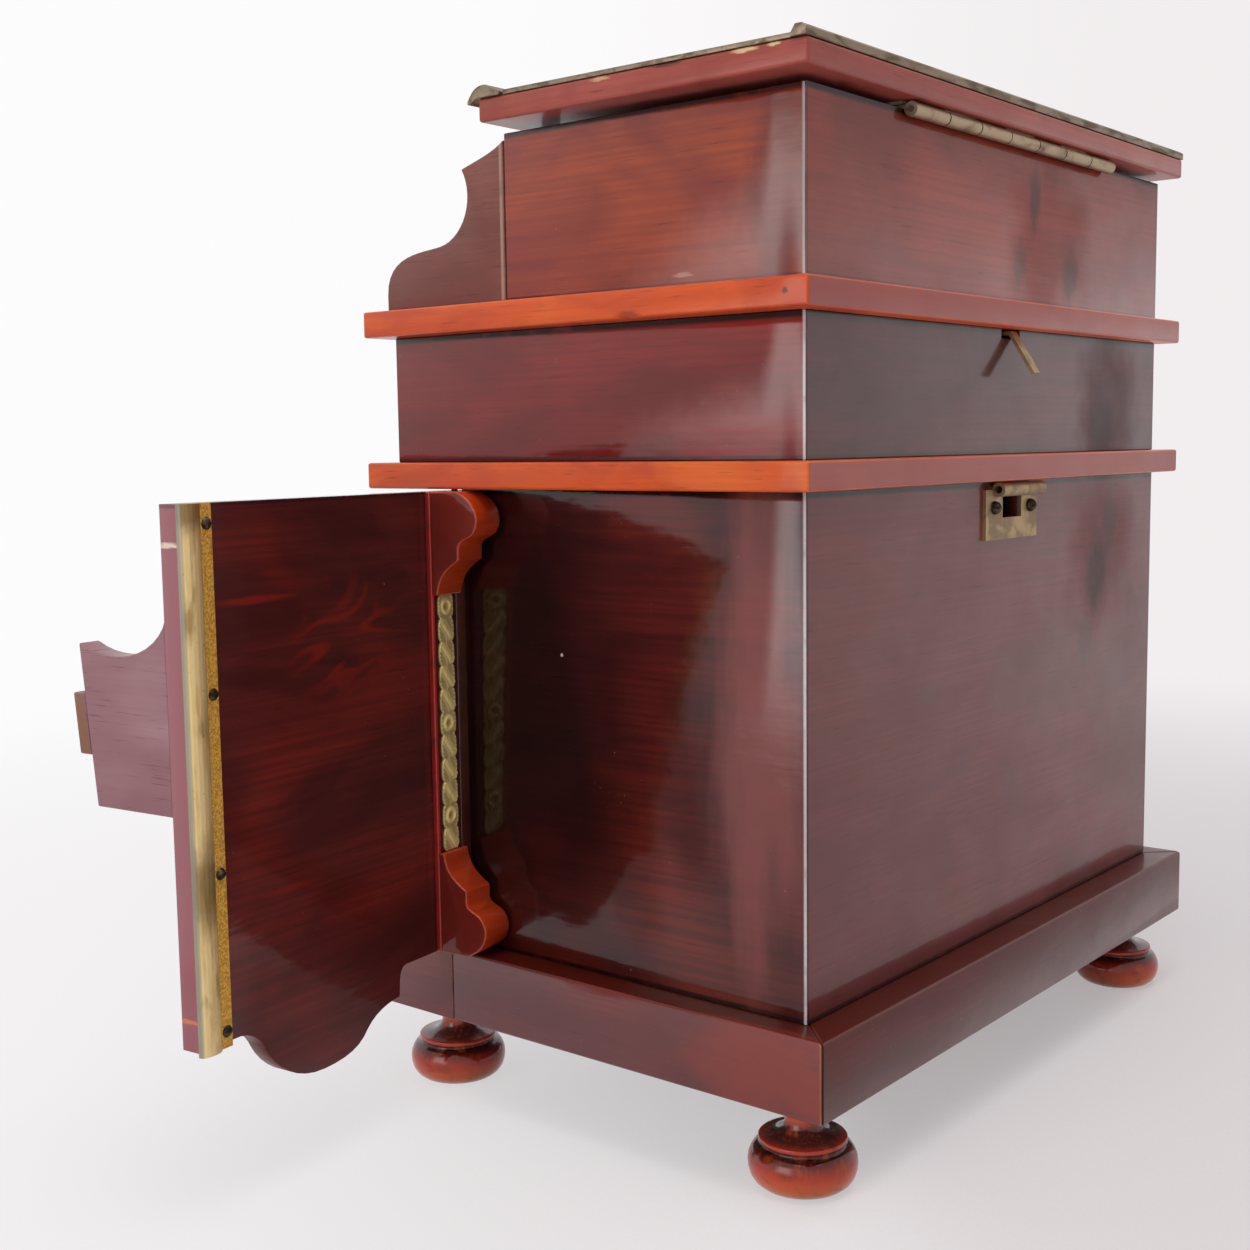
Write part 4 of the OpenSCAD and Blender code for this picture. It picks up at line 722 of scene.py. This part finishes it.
# upper back: its three dark blots are painted reflections of dark things in the room
upper_back = lacquered(
    "mahogany_veneer_gloss_upper_back", "#802e22", "#9c3c2c", "#b4462c", "#d08c6c", coat_rough=0.09, seed=7.3,
    gloss=0.8, lines=UPPER_SEAMS + CORNER_SEAM, veils=[((-20, BACK_Y, 192), (28, 9, 26), 0.6)],
    spots=[((-11.5, BACK_Y, 202), (4, 9, 10), 0.75, "#3c1614"),
           ((-4, BACK_Y, 187), (5, 9, 7), 0.6, "#461a16"),
           ((-31, BACK_Y, 186), (6, 9, 8), 0.7, "#3c1614")])
WING_BACK_Y = -18.4
wing_wood = lacquered(
    "mahogany_veneer_satin_wings", "#744038", "#864c44", "#965a4c", "#b88a70", coat_rough=0.2, gloss=0.6,
    lines=[(Y, WING_BACK_Y - 0.8, 0.6, 0.9, "#b4937c"), (Z, UPPER_BOTTOM + 0.4, 0.6, 0.5, SEAM)])
plinth_wood = lacquered(
    "mahogany_gloss_plinth_sides", "#663436", "#763c3c", "#883e38", "#cc7850", coat_rough=0.12, seed=0.9,
    rub=1.0, lying="#52180f", lines=[(Y, PLINTH_BACK_Y - 0.4, 0.3, 0.8, "#b87044")],
    spots=[((PLINTH_X, 52, 27), (4, 24, 14), 0.6, "#963c2e")])
plinth_rear_wood = lacquered(
    "mahogany_gloss_plinth_back", "#582624", "#6a302d", "#783a32", "#cc7850", coat_rough=0.12, seed=2.9,
    gloss=0.62, rub=1.0, lying="#52180f", lines=[(X, PLINTH_X - 0.4, 0.25, 0.9, "#1c0a08")])
# belt: broad paints its faces square to y a muted pink, a painted sheen: the lacquer's pale reflection on
# those faces
belt_wood = lacquered(
    "beech_belt_orange_gloss", "#cc4e28", "#e8622a", "#f47830", "#f4b484", coat_rough=0.14, gloss=0.55,
    rub=0.7, grain=0.35, figure_mm=20, dust=0.2, broad="#a05c5c", rolled=(1, 53.0, BELT_BACK_Y, 0.7),
    spots=[((BELT_X, 56.9, 175.8), (0.9, 0.9, 0.8), 0.9, "#3a1a14"),
           ((BELT_X, 20, TIER_TOP + 0.8), (60, 4, 0.9), 0.6, "#701c14")])
CHIP = "#e8c498"
lid_wood = lacquered(
    "beech_lid_satin_red", "#9c4a40", "#b25a50", "#c06450", "#e6b890", coat_rough=0.2, gloss=0.45, rub=0.9,
    grain=0.4, figure_mm=24, dust=0.3,
    spots=[((LID_X, 48.1, LID_TOP - 0.5), (2, 3.6, 0.8), 1.0, CHIP),
           ((LID_X, 54.5, LID_TOP - 0.4), (2, 1.8, 0.7), 1.0, CHIP),
           ((LID_X, 13.5, LID_TOP - 0.7), (2, 3, 0.6), 0.9, "#d8ac88"),
           ((LID_X, 30, LID_TOP - 0.4), (2, 5, 0.5), 0.8, "#3a1814")])

# ---------- the doors' finishes ----------
DOOR_FACE_OUT, DOOR_EDGE_S, DOOR_EDGE_OUT = -1.2, 82.7, 1.0


def on_door(s, z, side=1, out=DOOR_FACE_OUT):
    """A place on a door in mm."""
    return door_point(s, out, z, side, 1)


door_wood = lacquered(
    "mahogany_veneer_gloss_door", "#4a1b19", "#682722", "#842a20", "#b05848", end="#a8646c", rub=0.5,
    seed=2.2, lines=[(Z, LOWER_TOP - 0.8, 0.6, 0.5, SEAM)],
    veils=[(on_door(40, 34, side), (62, 12, 30), 0.8) for side in (1, -1)],
    figured=[(on_door(38, 109, side), (22, 8, 15), (34, 34, 20), "#8c2418") for side in (1, -1)],
    spots=[(on_door(64, 119.5), (13, 5, 1.1), 0.7, "#96281c"),
           (on_door(57, 61), (11, 5, 1.0), 0.6, "#8c261c"),
           (on_door(DOOR_EDGE_S, 131, 1, DOOR_EDGE_OUT), (2.5, 4, 0.7), 1.0, "#f0d8c0"),
           (on_door(DOOR_EDGE_S, 41, 1, DOOR_EDGE_OUT), (2.5, 5, 0.6), 1.0, "#d88058")])
PILASTER_EDGE_MM = DOOR_ROOT_MM + 11.7
pilaster_wood = lacquered(
    "mahogany_gloss_pilaster", "#451511", "#551a17", "#621c18", "#c83c34", rub=1.0, dust=0.0, seed=1.1,
    lines=[((side * math.cos(DOOR_TURN), math.sin(DOOR_TURN), 0), PILASTER_EDGE_MM, 0.6, 1.0, "#cc3028")
           for side in (1, -1)])
# corbels: end paints their faces square to x a dark purple-brown, as painted shade
corbel_wood = lacquered(
    "sawn_scroll_gloss_corbel", "#ac3412", "#cc4616", "#e05c24", "#f0a468", rub=0.9, grain=0.3, end="#5c1c1c",
    gloss=0.8, dust=0.0)
rack_wood = lacquered(
    "beech_rack_mauve_stain", "#94686e", "#a47c82", "#b08a8e", "#c8acaa", grain=0.3, gloss=0.3,
    coat_rough=0.3, rub=0.7, dust=0.1)
guard_wood = lacquered(
    "beech_rack_guard_mauve_stain", "#8a6066", "#987076", "#a47e82", "#c0a4a0", grain=0.3, gloss=0.3,
    coat_rough=0.3, rub=0.7, dust=0.1, end="#8c6248", seed=4.2)
strip_brass = astragal_brass("brass_astragal_right")
# the stamped strips' hollows are darkened as grime and as painted shade
stamped_brass = aged_brass("brass_strip_stamped", "#ffe69c", "#d8a850", thick=0.66, rough=0.6,
                           patch_mm=(1.2, 1.2, 1.2), rub=0.9, metal=0.2, hollow_grime_and_shade="#6c5228")

# ---------- the other finishes ----------
# stain, painted highlight and painted shade up a turned foot, as shares of its height: the bulb is painted
# bright, the quirk and the dish under the plinth dark as shade, and the waist and collar painted lighter than
# the plinth's shade leaves them
FOOT_STAIN_AND_LIGHT = [
    (0.0, "#a04a24"), (0.08, "#cc6a30"), (0.2, "#cc5428"), (0.3, "#b83a24"), (0.38, "#84281c"),
    (0.44, "#40120e"), (0.455, "#180a08"), (0.49, "#34120e"), (0.505, "#cc4830"), (0.545, "#b43a2a"),
    (0.56, "#44221c"), (0.64, "#3c221e"), (0.68, "#7c3026"), (0.75, "#d05840"), (0.82, "#e4684e"),
    (0.9, "#d86050"), (1.0, "#c05a50")]
foot_wood = turned_feet("beech_turned_red_gloss_feet", FOOT_STAIN_AND_LIGHT, FOOT_TOP)
raw_wood = bare_wood("pine_planed_bare", "#cfa878", "#b08452")
KNUCKLE_W = 14.0
plate_brass = aged_brass("brass_plate_dull", "#b09872", "#97836a", thick=0.5, rough=0.5)
hinge_brass = aged_brass("brass_hinge_dull", "#b09c80", "#7c6a54", thick=0.6, rough=0.45, patch_mm=(7, 4, 4),
                         joints=[KNUCKLE_W * (i + 0.5) for i in range(-3, 3)])
dark_brass = aged_brass("brass_lid_strip_grey", "#8c7c6a", "#6c5c4c", rough=0.45, patch_mm=(8, 3, 2))
knob_brass = aged_brass("brass_knob_turned", "#b8954e", "#6e5430", thick=0.6)
screw_brass = aged_brass("brass_screw_black", "#5c5040", "#2e2620", thick=0.45, rough=0.45,
                         patch_mm=(1, 1, 1))
works_brass = aged_brass("brass_movement_polished", "#d9b56a", "#94703a", thick=0.68, rough=0.25)
steel = plain_steel("steel_drawn_dull", "#8a867e", "#5a5650")
works_steel = plain_steel("steel_movement_ground", "#b8b8b6", "#7e7e7c", rough=0.28)
blue_steel = plain_steel("steel_spring_blued", "#3d4a66", "#232a3a", rough=0.3)
iron = even_surface("iron_cast_nickelled_bedplate", "#bdbcb4", "#9b9a92", rough=0.42, metal=1.0)
nylon = even_surface("nylon_moulded_fan", "#e6e3d8", "#d6d2c4", rough=0.5)
leather = even_surface("leather_tanned_pad", "#33241d", "#1e1410", rough=0.85, size_mm=0.6)

# ---------- boards and trim: finish, and how far each arris is rounded ----------
for node, material, width, body, slot in (
        ("plinth_sides", plinth_wood, 0.6, "cabinet", "case_wood"),
        ("plinth_back", plinth_rear_wood, 0.6, "cabinet", "case_wood"),
        ("foot_blocks", plinth_wood, 0.4, "cabinet", "case_wood"),
        ("bottom_board", door_wood, 0.4, "cabinet", "case_wood"),
        ("lower_sides", lower_side, 0.2, "cabinet", "case_wood"),
        ("upper_belt_board", belt_wood, 0.6, "cabinet", "belt_wood"),
        ("tier_sides", tier_side, 0.3, "cabinet", "case_wood"),
        ("upper_sides", upper_side, 0.3, "cabinet", "case_wood"),
        ("upper_back", upper_back, 0.3, "cabinet", "case_wood"),
        ("upper_front", upper_back, 0.3, "cabinet", "case_wood"),
        ("scroll_wings", wing_wood, 0.4, "cabinet", "case_wood"),
        ("lid_board", lid_wood, 0.7, "lid", "lid_wood")):
    eased(node, material, width, body)
for node, material, width, slot in (
        ("door_panel", door_wood, 0.25, "case_wood"), ("pilaster", pilaster_wood, 0.3, "case_wood"),
        ("corbels", corbel_wood, 0.4, "case_wood"), ("rack_boards", rack_wood, 0.4, "rack_wood"),
        ("rack_guard", guard_wood, 0.4, "rack_wood")):
    for word in ("right", "left"):
        eased(f"{word}_{node}", material, width, f"{word}_door")
eased("drawer_front", door_wood, 0.5, "drawer")
eased("lid_edge_strips", dark_brass, 0.2, "lid")
eased("lid_ogee_strip", dark_brass, 0.15, "lid")


# ---------- boards with holes ----------
def back_board(node, material, hole_x, levels):
    """A back board with one square hole, wide outside and between the sides inside."""
    pierced(node, material, 0.3, (-SIDE_X, -hole_x, hole_x, SIDE_X),
            (WALL - SIDE_X, -hole_x, hole_x, SIDE_X - WALL), levels, [(1, 1)],
            lambda u, v, face: (u, (BACK_Y, BACK_Y - WALL)[face], v))


back_board("lower_back", lower_back, KEYHOLE_X, (PLINTH_TOP, *KEYHOLE_Z, LOWER_TOP))
back_board("tier_back", tier_back, LEVER_SLOT_X, (TIER_BOTTOM, LEVER_SLOT_Z, TIER_TOP))
# the lower belt has a slot for the partition, and behind it a hole for the works
BELT_XS = (-BELT_X, -PARTITION_X, -WORKS_HOLE_X, WORKS_HOLE_X, PARTITION_X, BELT_X)
BELT_YS = (BELT_FRONT_Y, *PARTITION_Y, BACK_Y - WALL, BELT_BACK_Y)
BELT_HOLES = [(1, 1), (2, 1), (3, 1), (2, 2)]
pierced("lower_belt_board", belt_wood, 0.6, BELT_XS, BELT_XS, BELT_YS, BELT_HOLES,
        lambda u, v, face: (u, v, (TIER_BOTTOM, LOWER_TOP)[face]))

# ---------- feet and stamped strips ----------
FOOT_X, FOOT_YS = 78.55, (52.6, -44.5)
feet = turned_foot_mesh([(FOOT_X * side, y) for side in (1, -1) for y in FOOT_YS])
stand_for("bun_feet", feet, foot_wood, "cabinet")
stamped_strip("right_embossed_strip", stamped_brass, 1, "right_door")
stamped_strip("left_embossed_strip", stamped_brass, -1, "left_door")

# ---------- pieces that keep their solids' faces ----------
for material, names in (
        (strip_brass, ["astragal_strip"]), (knob_brass, ["drawer_knobs"]),
        (raw_wood, ["movement_partition", "drawer_box", "drawer_bottom", "movement_battens"]),
        (plate_brass, ["key_plate", "stop_lever"]), (hinge_brass, ["hinge_fixed_leaf", "hinge_moving_leaf"]),
        (screw_brass, ["brass_screws", "hinge_moving_screws", "astragal_pins"]),
        (steel, ["door_pivot_pins", "hinge_pin"]), (leather, ["lid_pads"]), (iron, ["bedplate"]),
        (blue_steel, ["mainspring"]), (nylon, ["fan_arbor"]),
        (works_brass, ["bearing_bridges", "governor_frame", "spring_barrel", "pinned_cylinder",
                       "governor_wheel"]),
        (works_steel, ["movement_screws", "steel_comb", "ratchet_click", "winding_arbor", "cylinder_arbor"])):
    for node in names:
        wear(node, material)

bpy.context.scene.view_settings.view_transform = "Standard"
